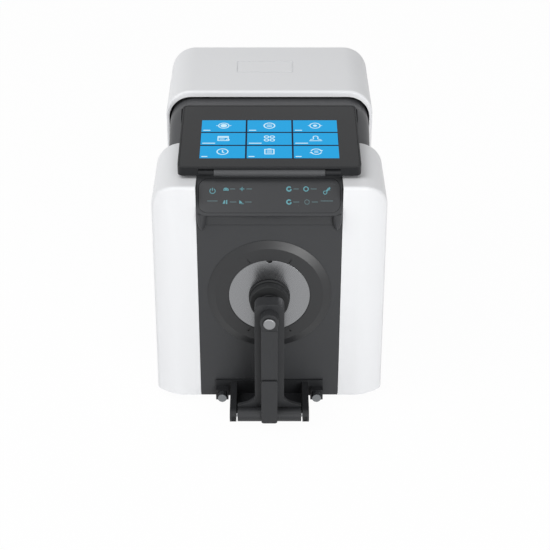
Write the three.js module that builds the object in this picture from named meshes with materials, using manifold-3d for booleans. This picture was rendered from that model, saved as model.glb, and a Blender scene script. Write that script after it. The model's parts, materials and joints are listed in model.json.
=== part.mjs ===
// Benchtop spectrophotometer: an arched moulded case with a measuring port and a sprung sample
// clamp at the front, a tilting display on top, and a hood that slides back over a sample well.
// Millimetres, +Z up. The front faces -Y and the object stands on z = 0.
// Inside this file a height is measured from the case's underside and a depth from the front
// panel's face. The last lines set the whole model on its feet, with its middle over the origin.

import * as THREE from 'three';
import Module from 'manifold-3d';
import { mergeVertices } from 'three/addons/utils/BufferGeometryUtils.js';

const wasm = await Module();
wasm.setup();

// Clearances, overruns and the fineness of round shapes

const FIT = 0.3;
const SHELL_PLAY = 0.6;
const OVERRUN = 2;
const MERGE_TOLERANCE = 0.0001;
const ARCH_STEPS = 8;
const FILLET_STEPS = 3;
const CORNER_STEPS = 5;
const FINE_SIDES = 64;
const ROUND_SIDES = 32;
const SMALL_SIDES = 20;
const COLUMN_SHARES = [ - 1, - 0.94, - 0.87, - 0.78, - 0.62, 0, 0.62, 0.78, 0.87, 0.94, 1 ];
const PLAIN_SHARES = [ - 1, 1 ];

// Front shell: the white arch with a pillowed front

const SHELL_HALF = 125.3;
const SHELL_FLARE = 1.7;
const SHELL_TOP = 264;
const SHELL_CORNER = 29;
const SHELL_DEPTH = 107;
const SHELL_WALL = 3;
const SHELL_FILLET = 3.2;
const PILLOW_START = 95;
const PILLOW_CURVE = 67;
const SLOT_HALF = 77.4;

// Front panel and the control console above it

const PANEL_THICKNESS = 3;
const CONSOLE_BACK = 27;
const CONSOLE_RISE = 0.3;
const CONSOLE_FALL = 28.7;
const CONSOLE_NOSE = 7;
const CONSOLE_LIP = 7.5;
const CONSOLE_LIP_FALL = 0.9;
const CONSOLE_LIP_CURL = 2.6;
const CONSOLE_UNDERCUT = 12;
const CONSOLE_TONGUE = 3;
const CONSOLE_WALL = 4;
const CONSOLE_CORNER = 11;
const FAIRING_WIDTH = 11.4;
const FAIRING_SINK = 2.7;
const FAIRING_DROP = 19;
const FAIRING_SIDES = 12;
const FAIRING_RINGS = 8;
const TOUCH_WIDTH = 149;
const TOUCH_LENGTH = 39;
const TOUCH_CORNER = 10;
const TOUCH_SHIFT = 0.6;
const TOUCH_THICKNESS = 1.2;

// Measuring port: bevelled ring and aperture plate

const PORT_HEIGHT = 134;
const RING_RADIUS = 67;
const RING_FLAT_RADIUS = 58.4;
const RING_RISE = 3.8;
const RING_EDGE = 1;
const SPIGOT_RADIUS = 56;
const SPIGOT_BACK = 6;
const PLATE_RADIUS = 44;
const PLATE_THICKNESS = 2.6;
const PLATE_RECESS = 0.4;
const PLATE_LEDGE = 6;
const APERTURE_RADIUS = 12.7;
const APERTURE_BEVEL = 1.5;
const NOTCH_RADIUS = 3.4;

// Integrating sphere, its stand, lamp and light tube

const SPHERE_RADIUS = 66;
const SPHERE_WALL = 4;
const SPHERE_PORT = 36;
const SPHERE_REAR_PORT = 15;
const SPHERE_FLANGE = 6;
const FLANGE_THICKNESS = 3;
const SPHERE_ARC_STEPS = 5;
const STAND_HALF = 44;
const STAND_THICKNESS = 5;
const STAND_REACH = 22;
const LAMP_HALF = 24;
const LAMP_LENGTH = 38;
const LAMP_HEADROOM = 15;
const LAMP_LIFT = 3;
const LAMP_NOZZLE = 11;
const LAMP_FINS = 6;
const LAMP_FIN_DEPTH = 9;
const LAMP_FIN_GAP = 2.6;
const TUBE_RADIUS = 14;
const TUBE_WALL = 2;

// Inner housing: the dark arch between the front shell and the hood

const WAIST_SETBACK = 12.6;
const WAIST_RISE = 24.5;
const WAIST_CORNER = 27;
const WAIST_FRONT_DROP = 2.2;
const WAIST_LAP = 2.4;
const WAIST_END = 300;
const WAIST_WALL = 2.6;
const RAMP_END = 158;
const RAMP_SHARES = [ 0, 0.12, 0.3, 0.5, 0.7, 0.88, 1 ];
const GROOVE_HEIGHT = 84;
const GROOVE_WIDTH = 7;
const GROOVE_DEPTH = 5.5;
const GROOVE_WALL = 2;

// Display

const DISPLAY_WIDTH = 193.4;
const DISPLAY_LENGTH = 132.5;
const DISPLAY_THICKNESS = 10.4;
const DISPLAY_CORNER = 6;
const DISPLAY_TILT = 5;
const DISPLAY_FRONT = 2.4;
const DISPLAY_UNDER = 2.9;
const HINGE_DEPTH = 22;
const HINGE_RISE = 6.7;
const HINGE_BAR_RADIUS = 4.2;
const HINGE_BAR_HALF = 58.5;
const HINGE_PIN_RADIUS = 1.5;
const HINGE_LUG_WIDTH = 6.5;
const HINGE_LUG_RADIUS = 3.6;
const HINGE_NOTCH_HALF = 75;
const HINGE_NOTCH_DEPTH = 6;
const HINGE_NOTCH_CEILING = 5.3;
const BRACKET_HALF = 50;
const BRACKET_BACK = 45;
const BRACKET_THICKNESS = 2.4;
const GLASS_THICKNESS = 1.2;
const GLASS_BORDER = 1.6;
const LCD_WIDTH = 158;
const LCD_LENGTH = 92;
const LCD_THICKNESS = 2.4;
const LCD_REAR_BORDER = 30;
const RECESS_PLAY = 1.8;
const RECESS_DROP = 3;
const RECESS_WALL = 2.4;
const BUMPER_RADIUS = 5;
const BUMPER_INSET = 20;

// Sample well under the hood

const WELL_HALF = 58;
const WELL_SETBACK = 11;
const WELL_LENGTH = 59;
const WELL_FLOOR = 88;
const WELL_WALL = 2.5;
const WELL_FLANGE = 6;
const WELL_FLANGE_THICKNESS = 2;
const WELL_SEAT = 2.4;
const WINDOW_RADIUS = 10;
const WINDOW_THICKNESS = 2;
const HOLDER_HALF = 28;
const HOLDER_LENGTH = 40;
const HOLDER_PLATE = 4;
const HOLDER_BLOCK_HALF = 10.5;
const HOLDER_ABOVE_BEAM = 16.3;
const CUVETTE_WIDTH = 12.8;
const CUVETTE_DEPTH = 42;
const HOLDER_BEAM_RADIUS = 4;

// Hood

const HOOD_SIDE_ROOM = 4.8;
const HOOD_HEADROOM = 10;
const HOOD_CORNER = 29;
const HOOD_START = 170;
const HOOD_END = 308;
const HOOD_WALL = 3.5;
const HOOD_SKIRT = 40;
const HOOD_REAR_OPENING = 122;
const HOOD_RIM_FILLET = 3;
const HOOD_REAR_FILLET = 9;
const RIM_DEPTH = 7;
const RIM_DROP = 3.6;
const RUNNER_LENGTH = 42;
const RUNNER_START = 12;

// Base tray, feet and rear panel

const TRAY_THICKNESS = 3;
const FOOT_HEIGHT = 8;
const FOOT_RADIUS = 11;
const FOOT_TAPER = 1.5;
const FOOT_RECESS_RADIUS = 4;
const FOOT_RECESS_DEPTH = 2.5;
const FOOT_SIDE_INSET = 20;
const FOOT_END_INSET = 24;
const VENT_COUNT = 8;
const VENT_LENGTH = 60;
const VENT_WIDTH = 3;
const VENT_PITCH = 8;
const REAR_PANEL_SETBACK = 8.7;
const REAR_PANEL_TOP = 118;
const REAR_PANEL_THICKNESS = 2.5;
const REAR_OPENING_BORDER = 6;

// Rear connectors

const INLET_X = - 62;
const INLET_HEIGHT = 36;
const INLET_FLANGE_WIDTH = 50;
const INLET_FLANGE_HEIGHT = 28;
const INLET_FLANGE_THICKNESS = 2.4;
const INLET_BODY_WIDTH = 29;
const INLET_BODY_HEIGHT = 21;
const INLET_BODY_DEPTH = 20;
const SOCKET_WIDTH = 24;
const SOCKET_HEIGHT = 16;
const SOCKET_DEPTH = 16;
const SOCKET_CORNER = 2.5;
const SWITCH_X = - 18;
const SWITCH_FLANGE_WIDTH = 20;
const SWITCH_FLANGE_HEIGHT = 30;
const SWITCH_BODY_WIDTH = 16;
const SWITCH_BODY_HEIGHT = 25;
const SWITCH_BODY_DEPTH = 15;
const SWITCH_POCKET_DEPTH = 11;
const SWITCH_WALL = 1.6;
const ROCKER_REACH = 9;
const ROCKER_TILT = 9;
const ROCKER_RISE = 3.4;
const ROCKER_KEEL = 5;
const USB_X = 24;
const USB_WIDTH = 12;
const USB_HEIGHT = 11;
const USB_DEPTH = 16;
const USB_WALL = 0.8;
const USB_PROUD = 1;
const REAR_VENT_X = 72;
const REAR_VENT_COUNT = 9;
const REAR_VENT_LENGTH = 40;
const REAR_VENT_HEIGHT = 64;

// Spectrometer module, power supply and main board

const OPTICS_SIDE_ROOM = 20.7;
const OPTICS_LENGTH = 46;
const OPTICS_BOTTOM = 56;
const OPTICS_TOP = 164;
const OPTICS_LID = 4;
const OPTICS_LEG = 7;
const SNOUT_RADIUS = 15;
const SNOUT_WALL = 3;
const SUPPLY_HALF = 55;
const SUPPLY_START = 200;
const SUPPLY_LENGTH = 76;
const SUPPLY_HEIGHT = 34;
const SUPPLY_FINS = 7;
const SUPPLY_FIN_DEPTH = 6;
const BOARD_SIDE_ROOM = 28.7;
const BOARD_START = 112;
const BOARD_LENGTH = 76;
const BOARD_LIFT = 8;
const BOARD_THICKNESS = 1.6;
const STANDOFF_RADIUS = 3;
const STANDOFF_INSET = 6;
const CHIP_HALF = 13;
const CHIP_HEIGHT = 3;

// Clamp bracket, hinge pin and thumbscrews

const PIVOT_FORWARD = 50;
const PIVOT_HEIGHT = 9;
const BRACKET_PLATE_HALF = 60;
const BRACKET_PLATE_TOP = 22;
const BRACKET_PLATE_THICKNESS = 3;
const BRACKET_BOTTOM = 1.2;
const LUG_INNER = 46;
const LUG_FORWARD = 11;
const LUG_TOP = 14;
const EAR_INNER = 36.4;
const EAR_WIDTH = 7.1;
const EAR_RADIUS = 7.8;
const EAR_REAR_TOP = 20;
const EAR_SHOULDER = 38;
const FLOOR_WEB_FORWARD = 36;
const FLOOR_WEB_THICKNESS = 3;
const CLAMP_PIN_RADIUS = 2.6;
const CLAMP_PIN_RECESS = 1;
const THUMBSCREW_X = 52.7;
const THUMBSCREW_HEIGHT = 9;
const THUMBSCREW_RADIUS = 5.2;
const THUMBSCREW_LENGTH = 8.5;
const THUMBSCREW_FLUTES = 16;
const THUMBSCREW_FLUTE_DEPTH = 0.5;
const THUMBSCREW_SHANK = 2;

// Clamp arm

const ARM_HALF = 15.9;
const ARM_CORNER = 8;
const ARM_FRONT = 45;
const ARM_BACK = 28;
const ARM_FRONT_WALL = 5;
const ARM_SIDE_WALL = 3.6;
const HEAD_ABOVE_PAD = 15;
const HEAD_BELOW_PAD = 16.5;
const SIDE_LOW_BACK = 37;
const SIDE_BOTTOM = 20;
const FLARE_START = 28;
const FLARE_END = 17.5;
const FLARE_BOW = 3;
const BARREL_HALF = 34.9;
const BARREL_RADIUS = 7.5;
const BAR_HALF = 8.75;
const BOSS_RADIUS = 9.9;
const BOSS_FRONT = 57;
const BAR_FRONT = 58;
const BAR_SEAM = 60;
const COVER_FRONT = 60;
const COVER_BOTTOM = 4;
const COVER_CORNER = 2.5;

// Sample pad and its plunger

const PAD_DROP = 1.5;
const PAD_RIM_RADIUS = 22.3;
const PAD_RADIUS = 21;
const PAD_RIM_LENGTH = 3.5;
const PAD_LENGTH = 13.5;
const PAD_RIBS = 3;
const PAD_RIB_DEPTH = 0.8;
const PAD_RECESS = 1.5;
const PAD_RECESS_RADIUS = 16;
const COLLAR_RADIUS = 12;
const COLLAR_LENGTH = 3;
const PLUNGER_RADIUS = 4;
const BUTTON_RADIUS = 6.4;
const BUTTON_LENGTH = 2.7;
const BUTTON_DISH = 0.6;

// Worked out from the sizes above

const DEGREE = Math.PI / 180;
const QUARTER_TURN = Math.PI / 2;
const CONSOLE_HALF = SLOT_HALF - FIT;
const CONSOLE_TOP = SHELL_TOP + CONSOLE_RISE;
const CONSOLE_NOSE_TOP = CONSOLE_TOP - CONSOLE_FALL;
const CONSOLE_LIP_HEIGHT = CONSOLE_NOSE_TOP - CONSOLE_LIP_FALL;
const CONSOLE_UNDERSIDE = CONSOLE_LIP_HEIGHT - CONSOLE_UNDERCUT;
const CONSOLE_FOOT = CONSOLE_UNDERSIDE - CONSOLE_TONGUE;
const HINGE_HEIGHT = SHELL_TOP + HINGE_RISE;
const WAIST_HALF = SHELL_HALF - WAIST_SETBACK;
const WAIST_TOP = SHELL_TOP + WAIST_RISE;
const WAIST_FRONT_TOP = SHELL_TOP - WAIST_FRONT_DROP;
const WAIST_START = SHELL_DEPTH - WAIST_LAP;
const HOOD_HALF = WAIST_HALF + HOOD_SIDE_ROOM;
const REAR_PANEL_HALF = WAIST_HALF - REAR_PANEL_SETBACK;
const OPTICS_HALF = WAIST_HALF - OPTICS_SIDE_ROOM;
const BOARD_HALF = WAIST_HALF - BOARD_SIDE_ROOM;
const HOOD_TOP = WAIST_TOP + HOOD_HEADROOM;
const WELL_START = HOOD_START + WELL_SETBACK;
const PAD_HEIGHT = PORT_HEIGHT - PAD_DROP;
const ARM_TOP = PAD_HEIGHT + HEAD_ABOVE_PAD;
const HEAD_BOTTOM = PAD_HEIGHT - HEAD_BELOW_PAD;
const WELL_END = WELL_START + WELL_LENGTH;
const WELL_MIDDLE = WELL_START + WELL_LENGTH / 2;
const SPHERE_PLANE = Math.sqrt( SPHERE_RADIUS ** 2 - SPHERE_PORT ** 2 );
const SPHERE_CENTRE = SPIGOT_BACK + FIT + SPHERE_PLANE;
const SPHERE_REAR = SPHERE_CENTRE + Math.sqrt( SPHERE_RADIUS ** 2 - SPHERE_REAR_PORT ** 2 );
const TRAY_TOP = TRAY_THICKNESS + FIT;
const REAR_FACE = WAIST_END + FIT + REAR_PANEL_THICKNESS;
const PLATE_FACE = RING_RISE - PLATE_RECESS;
const PAD_FACE = PLATE_FACE + FIT;
const PAD_BACK = PAD_FACE + PAD_LENGTH;
const DISPLAY_TOP = DISPLAY_THICKNESS - DISPLAY_UNDER;
const OPTICS_START = WELL_END + WELL_WALL + SNOUT_WALL + 2 * FIT;

// Materials

function finish( color, roughness, metalness ) {

	return new THREE.MeshStandardMaterial( { color, roughness, metalness, flatShading: true } );

}

const whiteShell = finish( 0xe9eaec, 0.35, 0 );
const darkShell = finish( 0x46484b, 0.5, 0 );
const darkGloss = finish( 0x2b2d30, 0.12, 0 );
const greyPlate = finish( 0x9fa2a4, 0.45, 0.2 );
const blackRubber = finish( 0x1e1f21, 0.9, 0 );
const steel = finish( 0xb9bcc0, 0.3, 1 );
const castArm = finish( 0x3c3e41, 0.45, 0.3 );
const sphereWhite = finish( 0xf7f7f4, 0.95, 0 );
const boardGreen = finish( 0x1f5a3a, 0.6, 0 );
const clearGlass = finish( 0xd8e4ea, 0.05, 0 );
const blackPlastic = finish( 0x18191b, 0.5, 0 );

// From geometry to solid and back

function signedVolume( positions, index ) {

	const a = new THREE.Vector3();
	const b = new THREE.Vector3();
	const c = new THREE.Vector3();
	let sum = 0;

	for ( let i = 0; i < index.length; i += 3 ) {

		a.fromArray( positions, 3 * index[ i ] );
		b.fromArray( positions, 3 * index[ i + 1 ] );
		c.fromArray( positions, 3 * index[ i + 2 ] );
		sum += a.dot( b.cross( c ) );

	}

	return sum / 6;

}

function toSolid( geometry ) {

	const bare = geometry.clone();
	bare.deleteAttribute( 'normal' );
	bare.deleteAttribute( 'uv' );
	const merged = mergeVertices( bare, MERGE_TOLERANCE );
	const positions = merged.attributes.position.array;
	const index = [];

	for ( let i = 0; i < merged.index.count; i += 3 ) {

		const [ a, b, c ] = [ 0, 1, 2 ].map( ( k ) => merged.index.getX( i + k ) );
		if ( a !== b && b !== c && c !== a ) index.push( a, b, c );

	}

	if ( signedVolume( positions, index ) < 0 ) index.reverse();

	return new wasm.Manifold( new wasm.Mesh( {
		numProp: 3,
		vertProperties: new Float32Array( positions ),
		triVerts: new Uint32Array( index )
	} ) );

}

function toGeometry( solid ) {

	const mesh = solid.getMesh();
	const geometry = new THREE.BufferGeometry();
	geometry.setAttribute( 'position', new THREE.BufferAttribute( mesh.vertProperties, 3 ) );
	geometry.setIndex( new THREE.BufferAttribute( mesh.triVerts, 1 ) );
	geometry.computeVertexNormals();
	return geometry;

}

function join( ...solids ) {

	return solids.reduce( ( whole, piece ) => whole.add( piece ) );

}

function cut( solid, ...tools ) {

	return tools.reduce( ( rest, tool ) => rest.subtract( tool ), solid );

}

// Solids in place: a block, prisms along the three axes and turned shapes

function block( xLow, xHigh, yLow, yHigh, zLow, zHigh ) {

	const geometry = new THREE.BoxGeometry( xHigh - xLow, yHigh - yLow, zHigh - zLow );
	geometry.translate( ( xLow + xHigh ) / 2, ( yLow + yHigh ) / 2, ( zLow + zHigh ) / 2 );
	return toSolid( geometry );

}

function extruded( shape, length ) {

	return new THREE.ExtrudeGeometry( shape, {
		depth: length,
		bevelEnabled: false,
		curveSegments: CORNER_STEPS
	} );

}

function prismX( shape, xLow, xHigh ) {

	const basis = new THREE.Matrix4().makeBasis(
		new THREE.Vector3( 0, 1, 0 ), new THREE.Vector3( 0, 0, 1 ), new THREE.Vector3( 1, 0, 0 ) );
	return toSolid( extruded( shape, xHigh - xLow ).applyMatrix4( basis ).translate( xLow, 0, 0 ) );

}

function prismY( shape, yLow, yHigh ) {

	return toSolid( extruded( shape, yHigh - yLow ).rotateX( QUARTER_TURN ).translate( 0, yHigh, 0 ) );

}

function prismZ( shape, zLow, zHigh ) {

	return toSolid( extruded( shape, zHigh - zLow ).translate( 0, 0, zLow ) );

}

function polygon( points ) {

	return new THREE.Shape( points.map( ( [ x, y ] ) => new THREE.Vector2( x, y ) ) );

}

function circle( radius, x = 0, y = 0 ) {

	const shape = new THREE.Shape();
	shape.absarc( x, y, radius, 0, 2 * Math.PI, false );
	return shape;

}

function roundedRectangle( width, height, radius, x = 0, y = 0 ) {

	const right = width / 2 - radius;
	const top = height / 2 - radius;
	const shape = new THREE.Shape();
	shape.absarc( x + right, y + top, radius, 0, QUARTER_TURN, false );
	shape.absarc( x - right, y + top, radius, QUARTER_TURN, Math.PI, false );
	shape.absarc( x - right, y - top, radius, Math.PI, Math.PI + QUARTER_TURN, false );
	shape.absarc( x + right, y - top, radius, Math.PI + QUARTER_TURN, 2 * Math.PI, false );
	return shape;

}

// A profile of [radius, height] points turned about its height axis, which is +Y here

function lathe( profile, sides ) {

	return new THREE.LatheGeometry( profile.map( ( [ r, h ] ) => new THREE.Vector2( r, h ) ), sides );

}

function turnedY( profile, sides, x = 0, z = 0 ) {

	return toSolid( lathe( profile, sides ).translate( x, 0, z ) );

}

function turnedX( profile, sides, y, z ) {

	return toSolid( lathe( profile, sides ).rotateZ( - QUARTER_TURN ).translate( 0, y, z ) );

}

function turnedZ( profile, sides, x, y ) {

	return toSolid( lathe( profile, sides ).rotateX( QUARTER_TURN ).translate( x, y, 0 ) );

}

function rod( radius, low, high ) {

	return [ [ 0, low ], [ radius, low ], [ radius, high ], [ 0, high ] ];

}

function tube( inner, outer, low, high ) {

	return [ [ inner, low ], [ outer, low ], [ outer, high ], [ inner, high ], [ inner, low ] ];

}

// An arched cover is lofted through cross-sections that have straight sides, round shoulders and
// a flat top. depthAt says how far back a section lies at each x, so that a face can be pillowed.

function arch( half, top, corner, bottom, depthAt, flare = 0 ) {

	return { half, top, corner, bottom, depthAt, flare };

}

function archGrid( section, shares ) {

	const { half, top, corner, bottom, depthAt, flare } = section;
	const rows = [ [ half + flare, bottom ], [ half, top - corner ] ];

	for ( let i = 1; i <= ARCH_STEPS; i ++ ) {

		const angle = i / ARCH_STEPS * QUARTER_TURN;
		rows.push( [ half - corner * ( 1 - Math.cos( angle ) ), top - corner * ( 1 - Math.sin( angle ) ) ] );

	}

	return rows.map( ( [ reach, z ] ) =>
		shares.map( ( share ) => [ reach * share, depthAt( reach * share ), z ] ) );

}

function archRing( grid ) {

	const last = grid.length - 1;
	const left = grid.map( ( row ) => row[ 0 ] );
	const right = grid.map( ( row ) => row.at( - 1 ) ).reverse();
	const over = grid[ last ].slice( 1, - 1 );
	const under = grid[ 0 ].slice( 1, - 1 ).reverse();
	return [ ...left, ...over, ...right, ...under ];

}

function archLoft( sections, shares = PLAIN_SHARES ) {

	const grids = sections.map( ( section ) => archGrid( section, shares ) );
	const rings = grids.map( archRing );
	const corners = [];

	for ( let s = 0; s + 1 < rings.length; s ++ ) {

		rings[ s ].forEach( ( point, i ) => {

			const next = ( i + 1 ) % rings[ s ].length;
			const beside = rings[ s ][ next ];
			const far = rings[ s + 1 ][ i ];
			corners.push( point, beside, far, beside, rings[ s + 1 ][ next ], far );

		} );

	}

	[ grids[ 0 ], grids.at( - 1 ) ].forEach( ( grid, isRear ) => {

		for ( let r = 0; r + 1 < grid.length; r ++ ) {

			for ( let c = 0; c + 1 < shares.length; c ++ ) {

				const face = [
					grid[ r ][ c ], grid[ r ][ c + 1 ], grid[ r + 1 ][ c ],
					grid[ r ][ c + 1 ], grid[ r + 1 ][ c + 1 ], grid[ r + 1 ][ c ]
				];
				if ( isRear ) face.reverse();
				corners.push( ...face );

			}

		}

	} );

	const geometry = new THREE.BufferGeometry();
	geometry.setAttribute( 'position', new THREE.Float32BufferAttribute( corners.flat(), 3 ) );
	return toSolid( geometry );

}

// The sections of a rounded edge: each one is drawn in by less and lies further back

function roundedEdge( radius, sectionAt ) {

	const sections = [];

	for ( let i = 0; i <= FILLET_STEPS; i ++ ) {

		const angle = i / FILLET_STEPS * QUARTER_TURN;
		sections.push( sectionAt( radius * ( 1 - Math.sin( angle ) ), radius * ( 1 - Math.cos( angle ) ) ) );

	}

	return sections;

}

// The model is a tree: each mesh takes its name from the piece that it is

const model = new THREE.Group();

function add( name, solid, material, group = model ) {

	const mesh = new THREE.Mesh( toGeometry( solid ), material );
	mesh.name = name;
	group.add( mesh );
	return mesh;

}

// Front shell

function pillow( x ) {

	return Math.max( 0, Math.abs( x ) - PILLOW_START ) ** 2 / PILLOW_CURVE;

}

function rampTop( share ) {

	const smooth = share * share * ( 3 - 2 * share );
	return WAIST_FRONT_TOP + ( WAIST_TOP - WAIST_FRONT_TOP ) * smooth;

}

function makeFrontShell() {

	const outer = archLoft( [
		...roundedEdge( SHELL_FILLET, ( inset, back ) => arch(
			SHELL_HALF - inset, SHELL_TOP - inset, SHELL_CORNER - inset, 0,
			( x ) => pillow( x ) + back, SHELL_FLARE ) ),
		arch( SHELL_HALF, SHELL_TOP, SHELL_CORNER, 0, () => SHELL_DEPTH, SHELL_FLARE )
	], COLUMN_SHARES );
	const inside = ( depthAt ) => arch(
		SHELL_HALF - SHELL_WALL, SHELL_TOP - SHELL_WALL, SHELL_CORNER - SHELL_WALL,
		- OVERRUN, depthAt, SHELL_FLARE );
	const cavity = archLoft( [
		inside( ( x ) => pillow( x ) + SHELL_WALL ),
		inside( () => SHELL_DEPTH - SHELL_WALL )
	], COLUMN_SHARES );
	const slot = block(
		- SLOT_HALF, SLOT_HALF, - OVERRUN, CONSOLE_BACK + FIT, - OVERRUN, SHELL_TOP + OVERRUN );
	const waist = ( depth ) => arch(
		WAIST_HALF + SHELL_PLAY, WAIST_FRONT_TOP + SHELL_PLAY, WAIST_CORNER, - OVERRUN, () => depth );
	const rearOpening = archLoft( [
		waist( SHELL_DEPTH - SHELL_WALL - OVERRUN ), waist( SHELL_DEPTH + OVERRUN ) ] );
	add( 'front_shell', cut( outer, cavity, slot, rearOpening ), whiteShell );

}

// Front panel and the control console

function makeFrontPanel() {

	const plate = block( - CONSOLE_HALF, CONSOLE_HALF, 0, PANEL_THICKNESS, 0, CONSOLE_FOOT - FIT );
	const hole = turnedY(
		rod( SPIGOT_RADIUS + FIT, - OVERRUN, PANEL_THICKNESS + OVERRUN ), FINE_SIDES, 0, PORT_HEIGHT );
	add( 'front_panel', cut( plate, hole ), darkShell );

}

const consoleSlope = new THREE.Vector2( CONSOLE_BACK + CONSOLE_NOSE, CONSOLE_TOP - CONSOLE_NOSE_TOP );
const consoleMatrix = new THREE.Matrix4()
	.makeTranslation(
		0, ( CONSOLE_BACK - CONSOLE_NOSE ) / 2, ( CONSOLE_TOP + CONSOLE_NOSE_TOP ) / 2 )
	.multiply( new THREE.Matrix4().makeRotationX( consoleSlope.angle() ) );

function onSlope( shape, low, high ) {

	return toSolid( extruded( shape, high - low ).translate( 0, 0, low ).applyMatrix4( consoleMatrix ) );

}

function consoleProfile() {

	const sunk = CONSOLE_WALL / Math.cos( consoleSlope.angle() );
	const profile = new THREE.Shape();
	profile.moveTo( CONSOLE_BACK, CONSOLE_TOP );
	profile.lineTo( - CONSOLE_NOSE, CONSOLE_NOSE_TOP );
	profile.lineTo( - CONSOLE_LIP, CONSOLE_LIP_HEIGHT );
	profile.quadraticCurveTo( 0, CONSOLE_LIP_HEIGHT - CONSOLE_LIP_CURL, 0, CONSOLE_UNDERSIDE );
	profile.lineTo( 0, CONSOLE_FOOT );
	profile.lineTo( PANEL_THICKNESS, CONSOLE_FOOT );
	profile.lineTo( PANEL_THICKNESS, CONSOLE_NOSE_TOP );
	profile.lineTo( CONSOLE_BACK, CONSOLE_TOP - sunk );
	return profile;

}

// What is outside one rounded front corner of the console, seen from above; side is -1 or 1

function cornerSpace( side ) {

	const outline = new THREE.Shape();
	const start = CONSOLE_HALF - CONSOLE_CORNER;
	outline.moveTo( side * start, - CONSOLE_LIP );
	outline.absellipse( side * start, 0, CONSOLE_CORNER, CONSOLE_LIP,
		- QUARTER_TURN, side < 0 ? - 2 * QUARTER_TURN : 0, side < 0 );
	outline.lineTo( side * ( CONSOLE_HALF + OVERRUN ), 0 );
	outline.lineTo( side * ( CONSOLE_HALF + OVERRUN ), - CONSOLE_LIP - OVERRUN );
	outline.lineTo( side * start, - CONSOLE_LIP - OVERRUN );
	return prismZ( outline, CONSOLE_UNDERSIDE - FAIRING_DROP, CONSOLE_TOP );

}

// A swelling under one end of the console, which fades into the front panel

function fairing( side ) {

	const middle = CONSOLE_LIP_HEIGHT - FAIRING_SINK;
	const swelling = toSolid( new THREE.SphereGeometry( 1, FAIRING_SIDES, FAIRING_RINGS )
		.scale( FAIRING_WIDTH / 2, CONSOLE_LIP, FAIRING_DROP )
		.translate( side * ( CONSOLE_HALF - FAIRING_WIDTH / 2 ), 0, middle ) );
	const keep = block(
		- CONSOLE_HALF, CONSOLE_HALF, - CONSOLE_LIP, PANEL_THICKNESS,
		middle - FAIRING_DROP, CONSOLE_LIP_HEIGHT );
	return swelling.intersect( keep );

}

function makeConsole() {

	const plate = ( border, low, high ) => onSlope(
		roundedRectangle( TOUCH_WIDTH + 2 * border, TOUCH_LENGTH + 2 * border, TOUCH_CORNER + border,
			0, - TOUCH_SHIFT ),
		low, high );
	const panelSpace = block(
		- SLOT_HALF, SLOT_HALF, - FIT, PANEL_THICKNESS + OVERRUN,
		CONSOLE_UNDERSIDE - FAIRING_DROP, CONSOLE_FOOT );
	const fairings = [ - 1, 1 ].map( ( side ) => fairing( side ) );
	const corners = [ - 1, 1 ].map( ( side ) => cornerSpace( side ) );
	const slope = cut( prismX( consoleProfile(), - CONSOLE_HALF, CONSOLE_HALF ), ...corners );
	add( 'control_console', cut(
		join( slope, ...fairings ), panelSpace, plate( FIT, - TOUCH_THICKNESS - FIT, OVERRUN ) ), darkShell );
	add( 'touch_plate', plate( 0, - TOUCH_THICKNESS, 0 ), darkGloss );

}

// Measuring port

function makePort() {

	const bore = PLATE_RADIUS + FIT;
	const ledge = PLATE_FACE - PLATE_THICKNESS - FIT;
	add( 'port_ring', turnedY( [
		[ bore - PLATE_LEDGE, SPIGOT_BACK ],
		[ SPIGOT_RADIUS, SPIGOT_BACK ],
		[ SPIGOT_RADIUS, - FIT ],
		[ RING_RADIUS, - FIT ],
		[ RING_RADIUS, - RING_EDGE ],
		[ RING_FLAT_RADIUS, - RING_RISE ],
		[ bore, - RING_RISE ],
		[ bore, - ledge ],
		[ bore - PLATE_LEDGE, - ledge ],
		[ bore - PLATE_LEDGE, SPIGOT_BACK ]
	], FINE_SIDES, 0, PORT_HEIGHT ), darkShell );
	const plate = turnedY( [
		[ APERTURE_RADIUS, - PLATE_FACE + APERTURE_BEVEL ],
		[ APERTURE_RADIUS + APERTURE_BEVEL, - PLATE_FACE ],
		[ PLATE_RADIUS, - PLATE_FACE ],
		[ PLATE_RADIUS, - PLATE_FACE + PLATE_THICKNESS ],
		[ APERTURE_RADIUS, - PLATE_FACE + PLATE_THICKNESS ],
		[ APERTURE_RADIUS, - PLATE_FACE + APERTURE_BEVEL ]
	], FINE_SIDES, 0, PORT_HEIGHT );
	const notch = turnedY(
		rod( NOTCH_RADIUS, - RING_RISE - OVERRUN, OVERRUN ), SMALL_SIDES, 0, PORT_HEIGHT + PLATE_RADIUS );
	add( 'aperture_plate', cut( plate, notch ), greyPlate );

}

// Integrating sphere: two flanged halves, a stand, a lamp and the tube to the sample well

function sphereArc( radius, planeFrom, planeTo ) {

	const points = [];
	const start = Math.acos( planeFrom / radius );
	const end = Math.acos( planeTo / radius );

	for ( let i = 0; i <= SPHERE_ARC_STEPS; i ++ ) {

		const angle = start + i / SPHERE_ARC_STEPS * ( end - start );
		points.push( [ radius * Math.sin( angle ), radius * Math.cos( angle ) ] );

	}

	return points;

}

function sphereHalf( portPlane ) {

	const flange = SPHERE_RADIUS + SPHERE_FLANGE;
	const inner = SPHERE_RADIUS - SPHERE_WALL;
	const seat = FIT / 2;
	const outerArc = sphereArc( SPHERE_RADIUS, portPlane, FLANGE_THICKNESS );
	const innerArc = sphereArc( inner, seat, Math.min( portPlane, inner - SPHERE_WALL ) );
	return [ ...outerArc, [ flange, FLANGE_THICKNESS ], [ flange, seat ], ...innerArc, outerArc[ 0 ] ];

}

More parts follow.
